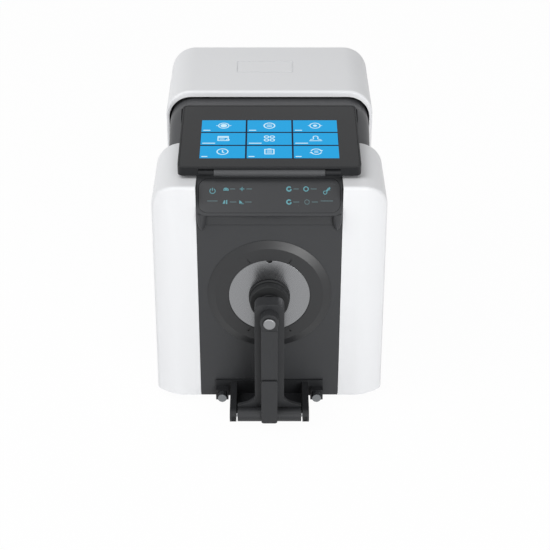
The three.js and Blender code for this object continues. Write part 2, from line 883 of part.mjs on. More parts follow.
function makeSphere() {

	const turnBack = ( profile ) => profile.map( ( [ r, h ] ) => [ r, SPHERE_CENTRE - h ] );
	const turnOn = ( profile ) => profile.map( ( [ r, h ] ) => [ r, SPHERE_CENTRE + h ] );
	add( 'sphere_front', turnedY(
		turnBack( sphereHalf( SPHERE_PLANE ) ), ROUND_SIDES, 0, PORT_HEIGHT ), sphereWhite );
	add( 'sphere_rear', turnedY(
		turnOn( sphereHalf( SPHERE_REAR - SPHERE_CENTRE ) ), ROUND_SIDES, 0, PORT_HEIGHT ), sphereWhite );

	const standFront = SPHERE_CENTRE + FLANGE_THICKNESS + FIT;
	const standTop = PORT_HEIGHT - SPHERE_RADIUS + STAND_REACH;
	const stand = block(
		- STAND_HALF, STAND_HALF, standFront, standFront + STAND_THICKNESS, TRAY_TOP, standTop );
	const saddle = turnedY(
		rod( SPHERE_RADIUS + FIT, standFront - OVERRUN, standFront + STAND_THICKNESS + OVERRUN ),
		FINE_SIDES, 0, PORT_HEIGHT );
	const foot = block(
		- STAND_HALF, STAND_HALF, standFront, standFront + STAND_REACH,
		TRAY_TOP, TRAY_TOP + STAND_THICKNESS );
	add( 'sphere_stand', join( cut( stand, saddle ), foot ), steel );

	const lampBottom = PORT_HEIGHT + SPHERE_RADIUS + SPHERE_FLANGE + LAMP_LIFT;
	const lampTop = SHELL_TOP - SHELL_WALL - LAMP_HEADROOM;
	const lampStart = SPHERE_CENTRE - LAMP_LENGTH / 2;
	const body = block( - LAMP_HALF, LAMP_HALF, lampStart, lampStart + LAMP_LENGTH, lampBottom, lampTop );
	const nozzleStart = lampStart + LAMP_LENGTH - LAMP_NOZZLE;
	const nozzle = turnedZ(
		rod( LAMP_NOZZLE, PORT_HEIGHT + SPHERE_RADIUS / 2, lampBottom + OVERRUN ),
		SMALL_SIDES, 0, nozzleStart );
	const ball = toSolid( new THREE.SphereGeometry( SPHERE_RADIUS + FIT, ROUND_SIDES, ROUND_SIDES )
		.translate( 0, SPHERE_CENTRE, PORT_HEIGHT ) );
	const flangeSpace = turnedY(
		rod( SPHERE_RADIUS + SPHERE_FLANGE + FIT, SPHERE_CENTRE - FLANGE_THICKNESS - FIT,
			SPHERE_CENTRE + FLANGE_THICKNESS + FIT ), FINE_SIDES, 0, PORT_HEIGHT );
	const finPitch = 2 * LAMP_HALF / LAMP_FINS;
	const finGaps = Array.from( { length: LAMP_FINS - 1 }, ( _, i ) => {

		const x = - LAMP_HALF + finPitch * ( i + 1 );
		return block( x - LAMP_FIN_GAP / 2, x + LAMP_FIN_GAP / 2, lampStart - OVERRUN,
			lampStart + LAMP_LENGTH + OVERRUN, lampTop - LAMP_FIN_DEPTH, lampTop + OVERRUN );

	} );
	add( 'lamp_module', cut( join( body, nozzle ), ball, flangeSpace, ...finGaps ), steel );
	add( 'light_tube', turnedY(
		tube( TUBE_RADIUS - TUBE_WALL, TUBE_RADIUS, SPHERE_REAR + FIT, WELL_START - WELL_WALL - FIT ),
		SMALL_SIDES, 0, PORT_HEIGHT ), blackPlastic );

}

// Inner housing with the display recess, the seat for the sample well and the hood's guide grooves

function waistSection( inset, top, depth, bottom ) {

	return arch( WAIST_HALF - inset, top - inset, WAIST_CORNER - inset, bottom, () => depth );

}

function waistLoft( inset, start, end, bottom ) {

	const ramp = RAMP_SHARES.map( ( share ) => waistSection(
		inset, rampTop( share ), start + share * ( RAMP_END - start ), bottom ) );
	return archLoft( [ ...ramp, waistSection( inset, WAIST_TOP, end, bottom ) ] );

}

function wellBlock( border, zLow, zHigh ) {

	return block(
		- WELL_HALF - border, WELL_HALF + border, WELL_START - border, WELL_END + border, zLow, zHigh );

}

function hingePoint( y, z ) {

	const turned = new THREE.Vector2( y, z ).rotateAround( new THREE.Vector2(), DISPLAY_TILT * DEGREE );
	return [ HINGE_DEPTH + turned.x, HINGE_HEIGHT + turned.y ];

}

function makeInnerHousing() {

	const outer = waistLoft( 0, WAIST_START, WAIST_END, TRAY_TOP );
	const inner = waistLoft( WAIST_WALL, WAIST_START - OVERRUN, WAIST_END - WAIST_WALL, - OVERRUN );
	const displayRear = DISPLAY_LENGTH - DISPLAY_FRONT + RECESS_PLAY;
	const recessHalf = DISPLAY_WIDTH / 2 + RECESS_PLAY;
	const recessAt = ( border, drop ) => prismX( polygon( [
		hingePoint( 0, - DISPLAY_UNDER - drop ),
		hingePoint( displayRear + border, - DISPLAY_UNDER - drop ),
		hingePoint( displayRear + border, DISPLAY_LENGTH ),
		hingePoint( 0, DISPLAY_LENGTH )
	] ), - recessHalf - border, recessHalf + border );
	const flangeSpace = WELL_WALL + WELL_FLANGE + FIT;
	const seatTop = WAIST_TOP - WELL_FLANGE_THICKNESS - FIT;
	const grooveAt = ( border, side ) => {

		const deep = side * ( WAIST_HALF - GROOVE_DEPTH - border );
		const outside = side * ( WAIST_HALF + ( border ? 0 : OVERRUN ) );
		return block(
			Math.min( deep, outside ), Math.max( deep, outside ),
			HOOD_START - OVERRUN - border, WAIST_END + ( border ? 0 : OVERRUN ),
			GROOVE_HEIGHT - GROOVE_WIDTH / 2 - border, GROOVE_HEIGHT + GROOVE_WIDTH / 2 + border );

	};
	const thick = join(
		cut( outer, inner ),
		recessAt( RECESS_WALL, RECESS_DROP + RECESS_WALL ).intersect( outer ),
		wellBlock( flangeSpace + WELL_SEAT, seatTop - WELL_SEAT, WAIST_TOP ),
		grooveAt( GROOVE_WALL, 1 ),
		grooveAt( GROOVE_WALL, - 1 ) );
	const rearOpening = block(
		REAR_OPENING_BORDER - REAR_PANEL_HALF, REAR_PANEL_HALF - REAR_OPENING_BORDER,
		WAIST_END - WAIST_WALL - OVERRUN, WAIST_END + OVERRUN,
		- OVERRUN, REAR_PANEL_TOP - REAR_OPENING_BORDER );
	add( 'inner_housing', cut(
		thick,
		recessAt( 0, RECESS_DROP ),
		wellBlock( flangeSpace, seatTop, WAIST_TOP + OVERRUN ),
		wellBlock( WELL_WALL + FIT, WELL_FLOOR, WAIST_TOP + OVERRUN ),
		grooveAt( 0, 1 ),
		grooveAt( 0, - 1 ),
		rearOpening
	), darkShell );

	[ - 1, 1 ].forEach( ( side ) => {

		const [ y, z ] = hingePoint( displayRear - BUMPER_INSET, - DISPLAY_UNDER - RECESS_DROP + FIT );
		const tall = RECESS_DROP - 2 * FIT;
		const bumper = toSolid( lathe( rod( BUMPER_RADIUS, 0, tall ), SMALL_SIDES )
			.rotateX( QUARTER_TURN + DISPLAY_TILT * DEGREE )
			.translate( side * ( recessHalf - BUMPER_INSET ), y, z ) );
		add( side < 0 ? 'display_bumper_left' : 'display_bumper_right', bumper, blackRubber );

	} );

}

// Sample well: a flanged insert that drops into the housing, two windows and the cuvette holder

function makeSampleWell() {

	const beamSpace = turnedY(
		rod( WINDOW_RADIUS + FIT, WELL_START - WELL_WALL - OVERRUN, WELL_END + WELL_WALL + OVERRUN ),
		SMALL_SIDES, 0, PORT_HEIGHT );
	add( 'sample_well', cut( join(
		wellBlock( WELL_WALL, WELL_FLOOR - WELL_WALL, WAIST_TOP ),
		wellBlock( WELL_WALL + WELL_FLANGE, WAIST_TOP - WELL_FLANGE_THICKNESS, WAIST_TOP )
	), wellBlock( 0, WELL_FLOOR, WAIST_TOP + OVERRUN ), beamSpace ), darkShell );

	const windows = [ [ 'well_window_front', WELL_START - WELL_WALL ], [ 'well_window_rear', WELL_END ] ];
	windows.forEach( ( [ name, start ] ) => {

		const middle = start + WELL_WALL / 2;
		add( name, turnedY(
			rod( WINDOW_RADIUS, middle - WINDOW_THICKNESS / 2, middle + WINDOW_THICKNESS / 2 ),
			SMALL_SIDES, 0, PORT_HEIGHT ), clearGlass );

	} );

	const floor = WELL_FLOOR + FIT;
	const top = PORT_HEIGHT + HOLDER_ABOVE_BEAM;
	const plate = block(
		- HOLDER_HALF, HOLDER_HALF, WELL_MIDDLE - HOLDER_LENGTH / 2, WELL_MIDDLE + HOLDER_LENGTH / 2,
		floor, floor + HOLDER_PLATE );
	const pillar = block(
		- HOLDER_BLOCK_HALF, HOLDER_BLOCK_HALF,
		WELL_MIDDLE - HOLDER_BLOCK_HALF, WELL_MIDDLE + HOLDER_BLOCK_HALF, floor, top );
	const pocket = block(
		- CUVETTE_WIDTH / 2, CUVETTE_WIDTH / 2,
		WELL_MIDDLE - CUVETTE_WIDTH / 2, WELL_MIDDLE + CUVETTE_WIDTH / 2,
		top - CUVETTE_DEPTH, top + OVERRUN );
	const beam = turnedY( rod( HOLDER_BEAM_RADIUS, WELL_START, WELL_END ), SMALL_SIDES, 0, PORT_HEIGHT );
	add( 'cuvette_holder', cut( join( plate, pillar ), pocket, beam ), castArm );

}

// Hood and its two runners

function makeHood() {

	const section = ( inset, depth ) => arch(
		HOOD_HALF - inset, HOOD_TOP - inset, HOOD_CORNER - inset, HOOD_SKIRT, () => depth );
	const outer = archLoft( [
		...roundedEdge( HOOD_RIM_FILLET, ( inset, back ) => section( inset, HOOD_START + back ) ),
		...roundedEdge( HOOD_REAR_FILLET, ( inset, back ) => section( inset, HOOD_END - back ) ).reverse()
	] );
	const inside = ( drop, depth ) => arch(
		HOOD_HALF - HOOD_WALL, HOOD_TOP - HOOD_WALL - drop, HOOD_CORNER - HOOD_WALL, - OVERRUN, () => depth );
	const cavity = archLoft( [ inside( 0, HOOD_START + RIM_DEPTH ), inside( 0, HOOD_END - HOOD_WALL ) ] );
	const mouth = archLoft( [
		inside( RIM_DROP, HOOD_START - OVERRUN ), inside( RIM_DROP, HOOD_START + RIM_DEPTH + OVERRUN ) ] );
	const rearOpening = block(
		HOOD_WALL - HOOD_HALF, HOOD_HALF - HOOD_WALL, HOOD_END - HOOD_REAR_FILLET, HOOD_END + OVERRUN,
		- OVERRUN, HOOD_REAR_OPENING );
	add( 'hood', cut( outer, cavity, mouth, rearOpening ), whiteShell );

	const inner = WAIST_HALF - GROOVE_DEPTH + FIT;
	const outside = HOOD_HALF - HOOD_WALL - FIT;
	const start = HOOD_START + RUNNER_START;
	const reach = GROOVE_WIDTH / 2 - FIT;
	const sides = [ [ 'hood_runner_left', - outside, - inner ], [ 'hood_runner_right', inner, outside ] ];

	for ( const [ name, low, high ] of sides ) {

		add( name, block(
			low, high, start, start + RUNNER_LENGTH,
			GROOVE_HEIGHT - reach, GROOVE_HEIGHT + reach ), blackPlastic );

	}

}

// Display: the case and glass lie in a tilted group whose origin is on the hinge axis

const display = new THREE.Group();
display.position.set( 0, HINGE_DEPTH, HINGE_HEIGHT );
display.rotation.x = DISPLAY_TILT * DEGREE;
model.add( display );

function displayPlate( widthInset, zLow, zHigh ) {

	return prismZ( roundedRectangle(
		DISPLAY_WIDTH - 2 * widthInset, DISPLAY_LENGTH - 2 * widthInset, DISPLAY_CORNER - widthInset,
		0, DISPLAY_LENGTH / 2 - DISPLAY_FRONT ), zLow, zHigh );

}

function lcdPlate( border, zLow, zHigh ) {

	return prismZ( roundedRectangle(
		LCD_WIDTH + 2 * border, LCD_LENGTH + 2 * border, GLASS_BORDER,
		0, DISPLAY_LENGTH - DISPLAY_FRONT - LCD_REAR_BORDER - LCD_LENGTH / 2 ), zLow, zHigh );

}

function makeDisplay() {

	const pocketFloor = DISPLAY_TOP - GLASS_THICKNESS - FIT;
	const lcdTop = pocketFloor;
	const glassPocket = displayPlate( GLASS_BORDER, pocketFloor, DISPLAY_TOP + OVERRUN );
	const lcdPocket = lcdPlate( FIT, lcdTop - LCD_THICKNESS - FIT, DISPLAY_TOP );
	const notch = block(
		- HINGE_NOTCH_HALF, HINGE_NOTCH_HALF, - DISPLAY_FRONT - OVERRUN, HINGE_NOTCH_DEPTH,
		- DISPLAY_UNDER - OVERRUN, HINGE_NOTCH_CEILING );
	const lugStart = HINGE_BAR_HALF + FIT;
	const lugs = [ - lugStart - HINGE_LUG_WIDTH, lugStart ].flatMap( ( x ) => [
		turnedX( rod( HINGE_LUG_RADIUS, x, x + HINGE_LUG_WIDTH ), SMALL_SIDES, 0, 0 ),
		block( x, x + HINGE_LUG_WIDTH, 0, HINGE_NOTCH_DEPTH + OVERRUN, - DISPLAY_UNDER, HINGE_LUG_RADIUS )
	] );
	const lugEnd = lugStart + HINGE_LUG_WIDTH + OVERRUN;
	const pinHole = turnedX( rod( HINGE_PIN_RADIUS + FIT, - lugEnd, lugEnd ), SMALL_SIDES, 0, 0 );
	const body = join( cut( displayPlate( 0, - DISPLAY_UNDER, DISPLAY_TOP ), notch ), ...lugs );
	add( 'display_case', cut( body, glassPocket, lcdPocket, pinHole ), darkShell, display );
	add( 'display_glass', displayPlate(
		GLASS_BORDER + FIT, DISPLAY_TOP - GLASS_THICKNESS, DISPLAY_TOP ), darkGloss, display );
	add( 'display_panel', lcdPlate( 0, lcdTop - LCD_THICKNESS, lcdTop ), blackPlastic, display );

}

function makeHingeBar() {

	const pinEnd = HINGE_BAR_HALF + HINGE_LUG_WIDTH + FIT;
	const under = HINGE_HEIGHT - HINGE_BAR_RADIUS;
	const shellFace = SHELL_TOP + FIT;
	const profile = polygon( [
		[ HINGE_DEPTH - HINGE_BAR_RADIUS / 2, under ],
		[ CONSOLE_BACK - FIT, CONSOLE_TOP + FIT ],
		[ CONSOLE_BACK + OVERRUN, shellFace ],
		[ BRACKET_BACK, shellFace ],
		[ BRACKET_BACK, shellFace + BRACKET_THICKNESS ],
		[ CONSOLE_BACK, shellFace + BRACKET_THICKNESS ],
		[ HINGE_DEPTH + HINGE_BAR_RADIUS / 2, HINGE_HEIGHT - HINGE_BAR_RADIUS / 2 ]
	] );
	add( 'display_hinge_bar', join(
		turnedX(
			rod( HINGE_BAR_RADIUS, - HINGE_BAR_HALF, HINGE_BAR_HALF ),
			SMALL_SIDES, HINGE_DEPTH, HINGE_HEIGHT ),
		turnedX( rod( HINGE_PIN_RADIUS, - pinEnd, pinEnd ), SMALL_SIDES, HINGE_DEPTH, HINGE_HEIGHT ),
		prismX( profile, - BRACKET_HALF, BRACKET_HALF )
	), greyPlate );

}

// Base tray and feet

function slots( count, x, pitch, cutter ) {

	return Array.from( { length: count }, ( _, i ) => cutter( x + ( i - ( count - 1 ) / 2 ) * pitch ) );

}

function makeBase() {

	const frontHalf = SHELL_HALF - SHELL_WALL - FIT;
	const front = block(
		- frontHalf, frontHalf,
		pillow( frontHalf ) + SHELL_WALL + FIT, SHELL_DEPTH - SHELL_WALL - FIT,
		0, TRAY_THICKNESS );
	const nose = block(
		- PILLOW_START, PILLOW_START, SHELL_WALL + FIT, SHELL_DEPTH / 2, 0, TRAY_THICKNESS );
	const rear = block( - WAIST_HALF, WAIST_HALF, SHELL_DEPTH / 2, WAIST_END, 0, TRAY_THICKNESS );
	const vents = slots( VENT_COUNT, 0, VENT_PITCH, ( x ) => block(
		x - VENT_WIDTH / 2, x + VENT_WIDTH / 2,
		WAIST_START - VENT_LENGTH, WAIST_START,
		- OVERRUN, TRAY_TOP + OVERRUN ) );
	add( 'base_tray', cut( join( front, nose, rear ), ...vents ), steel );

	const places = [ [ - 1, FOOT_END_INSET, 'front_left' ], [ 1, FOOT_END_INSET, 'front_right' ],
		[ - 1, WAIST_END - FOOT_END_INSET, 'rear_left' ], [ 1, WAIST_END - FOOT_END_INSET, 'rear_right' ] ];

	for ( const [ side, y, place ] of places ) {

		const foot = turnedZ( [
			[ 0, - FIT ],
			[ FOOT_RADIUS, - FIT ],
			[ FOOT_RADIUS - FOOT_TAPER, - FOOT_HEIGHT ],
			[ FOOT_RECESS_RADIUS, - FOOT_HEIGHT ],
			[ FOOT_RECESS_RADIUS, FOOT_RECESS_DEPTH - FOOT_HEIGHT ],
			[ 0, FOOT_RECESS_DEPTH - FOOT_HEIGHT ]
		], SMALL_SIDES, side * ( WAIST_HALF - FOOT_SIDE_INSET ), y );
		add( `foot_${ place }`, foot, blackRubber );

	}

}

// Rear panel, power inlet, switch and data socket

function framedBox( x, z, width, height, yLow, yHigh ) {

	return block( x - width / 2, x + width / 2, yLow, yHigh, z - height / 2, z + height / 2 );

}

function makeRear() {

	const start = WAIST_END + FIT;
	const flange = REAR_FACE + FIT;
	const hole = ( x, width, height ) => framedBox(
		x, INLET_HEIGHT, width + 2 * FIT, height + 2 * FIT, start - OVERRUN, REAR_FACE + OVERRUN );
	const vents = slots( REAR_VENT_COUNT, REAR_VENT_HEIGHT, VENT_PITCH, ( z ) => framedBox(
		REAR_VENT_X, z, REAR_VENT_LENGTH, VENT_WIDTH, start - OVERRUN, REAR_FACE + OVERRUN ) );
	add( 'rear_panel', cut(
		block( - REAR_PANEL_HALF, REAR_PANEL_HALF, start, REAR_FACE, TRAY_TOP, REAR_PANEL_TOP ),
		hole( INLET_X, INLET_BODY_WIDTH, INLET_BODY_HEIGHT ),
		hole( SWITCH_X, SWITCH_BODY_WIDTH, SWITCH_BODY_HEIGHT ),
		hole( USB_X, USB_WIDTH, USB_HEIGHT ),
		...vents ), darkShell );

	const inletFace = flange + INLET_FLANGE_THICKNESS;
	const socket = prismY(
		roundedRectangle( SOCKET_WIDTH, SOCKET_HEIGHT, SOCKET_CORNER, INLET_X, INLET_HEIGHT ),
		inletFace - SOCKET_DEPTH, inletFace + OVERRUN );
	add( 'power_inlet', cut( join(
		framedBox( INLET_X, INLET_HEIGHT, INLET_FLANGE_WIDTH, INLET_FLANGE_HEIGHT, flange, inletFace ),
		framedBox( INLET_X, INLET_HEIGHT, INLET_BODY_WIDTH, INLET_BODY_HEIGHT,
			inletFace - INLET_BODY_DEPTH, inletFace )
	), socket ), blackPlastic );

	const pocketWidth = SWITCH_BODY_WIDTH - 2 * SWITCH_WALL;
	const pocketHeight = SWITCH_BODY_HEIGHT - 2 * SWITCH_WALL;
	add( 'switch_frame', cut(
		join(
			framedBox( SWITCH_X, INLET_HEIGHT, SWITCH_FLANGE_WIDTH, SWITCH_FLANGE_HEIGHT, flange, inletFace ),
			framedBox( SWITCH_X, INLET_HEIGHT, SWITCH_BODY_WIDTH, SWITCH_BODY_HEIGHT,
				inletFace - SWITCH_BODY_DEPTH, inletFace ) ),
		framedBox( SWITCH_X, INLET_HEIGHT, pocketWidth, pocketHeight,
			inletFace - SWITCH_POCKET_DEPTH, inletFace + OVERRUN )
	), blackPlastic );

	const rockerHalf = pocketWidth / 2 - FIT;
	const middle = inletFace - SWITCH_POCKET_DEPTH + ROCKER_KEEL + FIT;
	const rise = inletFace - middle + ROCKER_RISE;
	const rocker = prismX( polygon( [
		[ 0, - ROCKER_KEEL ],
		[ ROCKER_KEEL, - ROCKER_REACH ],
		[ rise, - ROCKER_REACH ],
		[ rise - ROCKER_RISE / 2, 0 ],
		[ rise, ROCKER_REACH ],
		[ ROCKER_KEEL, ROCKER_REACH ],
		[ 0, ROCKER_KEEL ],
		[ - ROCKER_KEEL, 0 ]
	] ), - rockerHalf, rockerHalf );
	const mesh = add( 'rocker_switch', rocker, blackPlastic );
	mesh.position.set( SWITCH_X, middle, INLET_HEIGHT );
	mesh.rotation.x = - ROCKER_TILT * DEGREE;

	const usbFace = REAR_FACE + USB_PROUD;
	add( 'data_socket', cut(
		framedBox( USB_X, INLET_HEIGHT, USB_WIDTH, USB_HEIGHT, usbFace - USB_DEPTH, usbFace ),
		framedBox( USB_X, INLET_HEIGHT, USB_WIDTH - 2 * USB_WALL, USB_HEIGHT - 2 * USB_WALL,
			usbFace - USB_DEPTH + USB_WALL, usbFace + OVERRUN )
	), steel );

}

// Spectrometer module, power supply and main board on the tray

function makeElectronics() {

	const end = OPTICS_START + OPTICS_LENGTH;
	const legs = [ - OPTICS_HALF, OPTICS_HALF - OPTICS_LEG ].flatMap( ( x ) =>
		[ OPTICS_START, end - OPTICS_LEG ].map( ( y ) => block(
			x, x + OPTICS_LEG, y, y + OPTICS_LEG, TRAY_TOP, OPTICS_BOTTOM ) ) );
	const snout = turnedY(
		tube( SNOUT_RADIUS - SNOUT_WALL, SNOUT_RADIUS, WELL_END + WELL_WALL + FIT, OPTICS_START + OVERRUN ),
		SMALL_SIDES, 0, PORT_HEIGHT );
	const lens = turnedY(
		rod( SNOUT_RADIUS - SNOUT_WALL, OPTICS_START - OVERRUN, OPTICS_START + SNOUT_WALL ),
		SMALL_SIDES, 0, PORT_HEIGHT );
	const lidSeat = OPTICS_TOP - OPTICS_LID - FIT;
	const bench = block( - OPTICS_HALF, OPTICS_HALF, OPTICS_START, end, OPTICS_BOTTOM, lidSeat );
	add( 'spectrometer_body', cut( join( bench, ...legs, snout ), lens ), castArm );
	add( 'spectrometer_lid', block(
		- OPTICS_HALF, OPTICS_HALF, OPTICS_START, end, OPTICS_TOP - OPTICS_LID, OPTICS_TOP ), castArm );

	const supplyTop = TRAY_TOP + SUPPLY_HEIGHT;
	const supplyEnd = SUPPLY_START + SUPPLY_LENGTH;
	const finGaps = slots( SUPPLY_FINS, 0, 2 * SUPPLY_HALF / ( SUPPLY_FINS + 1 ), ( x ) => block(
		x - VENT_WIDTH / 2, x + VENT_WIDTH / 2, SUPPLY_START - OVERRUN, supplyEnd + OVERRUN,
		supplyTop - SUPPLY_FIN_DEPTH, supplyTop + OVERRUN ) );
	add( 'power_supply', cut(
		block( - SUPPLY_HALF, SUPPLY_HALF, SUPPLY_START, supplyEnd, TRAY_TOP, supplyTop ), ...finGaps
	), steel );

	const boardBottom = TRAY_TOP + BOARD_LIFT;
	const boardTop = boardBottom + BOARD_THICKNESS;
	const boardEnd = BOARD_START + BOARD_LENGTH;
	const standoffX = BOARD_HALF - STANDOFF_INSET;
	const standoffs = [ - standoffX, standoffX ].flatMap( ( x ) =>
		[ BOARD_START + STANDOFF_INSET, boardEnd - STANDOFF_INSET ].map( ( y ) =>
			turnedZ( rod( STANDOFF_RADIUS, TRAY_TOP, boardTop ), SMALL_SIDES, x, y ) ) );
	const chips = [ - 1, 0, 1 ].map( ( place ) => block(
		place * BOARD_HALF / 2 - CHIP_HALF, place * BOARD_HALF / 2 + CHIP_HALF,
		BOARD_START + BOARD_LENGTH / 2 - CHIP_HALF, BOARD_START + BOARD_LENGTH / 2 + CHIP_HALF,
		boardBottom, boardTop + CHIP_HEIGHT ) );
	const sheet = block( - BOARD_HALF, BOARD_HALF, BOARD_START, boardEnd, boardBottom, boardTop );
	add( 'main_board', join( sheet, ...standoffs, ...chips ), boardGreen );

}

// Clamp bracket, its pin and the two thumbscrews that hold it to the panel

function makeClampBracket() {

	const ear = new THREE.Shape();
	ear.moveTo( - FIT, BRACKET_BOTTOM );
	ear.lineTo( - PIVOT_FORWARD, PIVOT_HEIGHT - EAR_RADIUS );
	ear.absarc( - PIVOT_FORWARD, PIVOT_HEIGHT, EAR_RADIUS, - QUARTER_TURN, QUARTER_TURN, true );
	ear.lineTo( - EAR_SHOULDER, PIVOT_HEIGHT + EAR_RADIUS );
	ear.lineTo( - BRACKET_PLATE_THICKNESS, EAR_REAR_TOP );
	ear.lineTo( - FIT, EAR_REAR_TOP );
	const earEnd = EAR_INNER + EAR_WIDTH;
	const ears = [ - earEnd, EAR_INNER ].map( ( x ) => prismX( ear, x, x + EAR_WIDTH ) );
	const lugWidth = BRACKET_PLATE_HALF - LUG_INNER;
	const lugs = [ - BRACKET_PLATE_HALF, LUG_INNER ].map( ( x ) =>
		block( x, x + lugWidth, - LUG_FORWARD, - FIT, BRACKET_BOTTOM, LUG_TOP ) );
	const plate = block(
		- BRACKET_PLATE_HALF, BRACKET_PLATE_HALF, - BRACKET_PLATE_THICKNESS, - FIT,
		BRACKET_BOTTOM, BRACKET_PLATE_TOP );
	const floor = block(
		- earEnd, earEnd, - FLOOR_WEB_FORWARD, - FIT, BRACKET_BOTTOM, BRACKET_BOTTOM + FLOOR_WEB_THICKNESS );
	const pinHole = turnedX(
		rod( CLAMP_PIN_RADIUS + FIT, - earEnd - OVERRUN, earEnd + OVERRUN ),
		SMALL_SIDES, - PIVOT_FORWARD, PIVOT_HEIGHT );
	const screwHole = rod( THUMBSCREW_SHANK + FIT, - LUG_FORWARD - OVERRUN, OVERRUN );
	const screwHoles = [ - THUMBSCREW_X, THUMBSCREW_X ].map( ( x ) =>
		turnedY( screwHole, SMALL_SIDES, x, THUMBSCREW_HEIGHT ) );
	add( 'clamp_bracket', cut( join( plate, floor, ...lugs, ...ears ), pinHole, ...screwHoles ), castArm );

	const pinHalf = earEnd - CLAMP_PIN_RECESS;
	add( 'clamp_pin', turnedX(
		rod( CLAMP_PIN_RADIUS, - pinHalf, pinHalf ), SMALL_SIDES, - PIVOT_FORWARD, PIVOT_HEIGHT ), steel );

}

function makeThumbscrews() {

	const points = [];

	for ( let i = 0; i < 2 * THUMBSCREW_FLUTES; i ++ ) {

		const angle = i / THUMBSCREW_FLUTES * Math.PI;
		const radius = THUMBSCREW_RADIUS - ( i % 2 ) * THUMBSCREW_FLUTE_DEPTH;
		points.push( [ radius * Math.cos( angle ), radius * Math.sin( angle ) ] );

	}

	const back = - LUG_FORWARD - FIT;
	const screw = join(
		prismY( polygon( points ), back - THUMBSCREW_LENGTH, back ),
		turnedY( rod( THUMBSCREW_SHANK, back - THUMBSCREW_LENGTH / 2, - 2 * FIT ), SMALL_SIDES ) );

	for ( const side of [ 'left', 'right' ] ) {

		const x = side === 'left' ? - THUMBSCREW_X : THUMBSCREW_X;
		add( `thumbscrew_${ side }`, screw, steel ).position.set( x, 0, THUMBSCREW_HEIGHT );

	}

}

// Clamp arm: a cast channel with a solid head, a flared foot and a hinge barrel

function makeArm() {

	const outline = new THREE.Shape();
	outline.moveTo( - BARREL_HALF, PIVOT_HEIGHT );
	outline.lineTo( BARREL_HALF, PIVOT_HEIGHT );
	outline.lineTo( BARREL_HALF, FLARE_END );
	outline.quadraticCurveTo( ARM_HALF + FLARE_BOW, FLARE_END + FLARE_BOW, ARM_HALF, FLARE_START );
	outline.absarc( ARM_HALF - ARM_CORNER, ARM_TOP - ARM_CORNER, ARM_CORNER, 0, QUARTER_TURN, false );
	outline.absarc( ARM_CORNER - ARM_HALF, ARM_TOP - ARM_CORNER, ARM_CORNER, QUARTER_TURN, Math.PI, false );
	outline.lineTo( - ARM_HALF, FLARE_START );
	outline.quadraticCurveTo( - ARM_HALF - FLARE_BOW, FLARE_END + FLARE_BOW, - BARREL_HALF, FLARE_END );
	const whole = prismY( outline, - ARM_FRONT, - ARM_BACK );
	const front = prismY( outline, - ARM_FRONT, ARM_FRONT_WALL - ARM_FRONT );
	const head = block(
		- ARM_HALF, ARM_HALF, - ARM_FRONT, - ARM_BACK, HEAD_BOTTOM, ARM_TOP ).intersect( whole );
	const sideProfile = polygon( [
		[ - ARM_FRONT, SIDE_BOTTOM ],
		[ - SIDE_LOW_BACK, SIDE_BOTTOM ],
		[ - ARM_BACK, HEAD_BOTTOM ],
		[ - ARM_BACK, HEAD_BOTTOM + OVERRUN ],
		[ - ARM_FRONT, HEAD_BOTTOM + OVERRUN ]
	] );
	const sides = [ - ARM_HALF, ARM_HALF - ARM_SIDE_WALL ].map( ( x ) =>
		prismX( sideProfile, x, x + ARM_SIDE_WALL ) );
	const barrel = turnedX(
		rod( BARREL_RADIUS, - BARREL_HALF, BARREL_HALF ), ROUND_SIDES, - PIVOT_FORWARD, PIVOT_HEIGHT );
	const pinBore = turnedX(
		rod( CLAMP_PIN_RADIUS + FIT, - BARREL_HALF - OVERRUN, BARREL_HALF + OVERRUN ),
		SMALL_SIDES, - PIVOT_FORWARD, PIVOT_HEIGHT );
	const plungerBore = turnedY(
		rod( PLUNGER_RADIUS + FIT, - BAR_FRONT - OVERRUN, - ARM_BACK + OVERRUN ),
		SMALL_SIDES, 0, PAD_HEIGHT );
	add( 'clamp_arm', cut( join( front, head, ...sides, barrel ), pinBore, plungerBore ), castArm );

	const bar = block( - BAR_HALF, BAR_HALF, - BAR_FRONT, - ARM_FRONT - FIT, BAR_SEAM + FIT / 2, PAD_HEIGHT );
	const boss = turnedY( rod( BOSS_RADIUS, - BOSS_FRONT, - ARM_FRONT - FIT ), ROUND_SIDES, 0, PAD_HEIGHT );
	const face = block(
		- ARM_HALF, ARM_HALF, - BAR_FRONT - OVERRUN, - BOSS_FRONT, PAD_HEIGHT - BOSS_RADIUS, ARM_TOP );
	add( 'arm_bar', cut( join( bar, boss ), face, plungerBore ), castArm );

	const coverHeight = BAR_SEAM - FIT / 2 - COVER_BOTTOM;
	const coverOutline = roundedRectangle(
		2 * BAR_HALF, coverHeight, COVER_CORNER, 0, COVER_BOTTOM + coverHeight / 2 );
	const cover = prismY( coverOutline, - COVER_FRONT, - ARM_FRONT - FIT );
	const barrelSpace = turnedX(
		rod( BARREL_RADIUS + FIT, - ARM_HALF, ARM_HALF ), ROUND_SIDES, - PIVOT_FORWARD, PIVOT_HEIGHT );
	const behind = block( - ARM_HALF, ARM_HALF, - PIVOT_FORWARD, 0, 0, PIVOT_HEIGHT );
	add( 'hinge_cover', cut( cover, barrelSpace, behind ), castArm );

}

// Sample pad on its sprung plunger

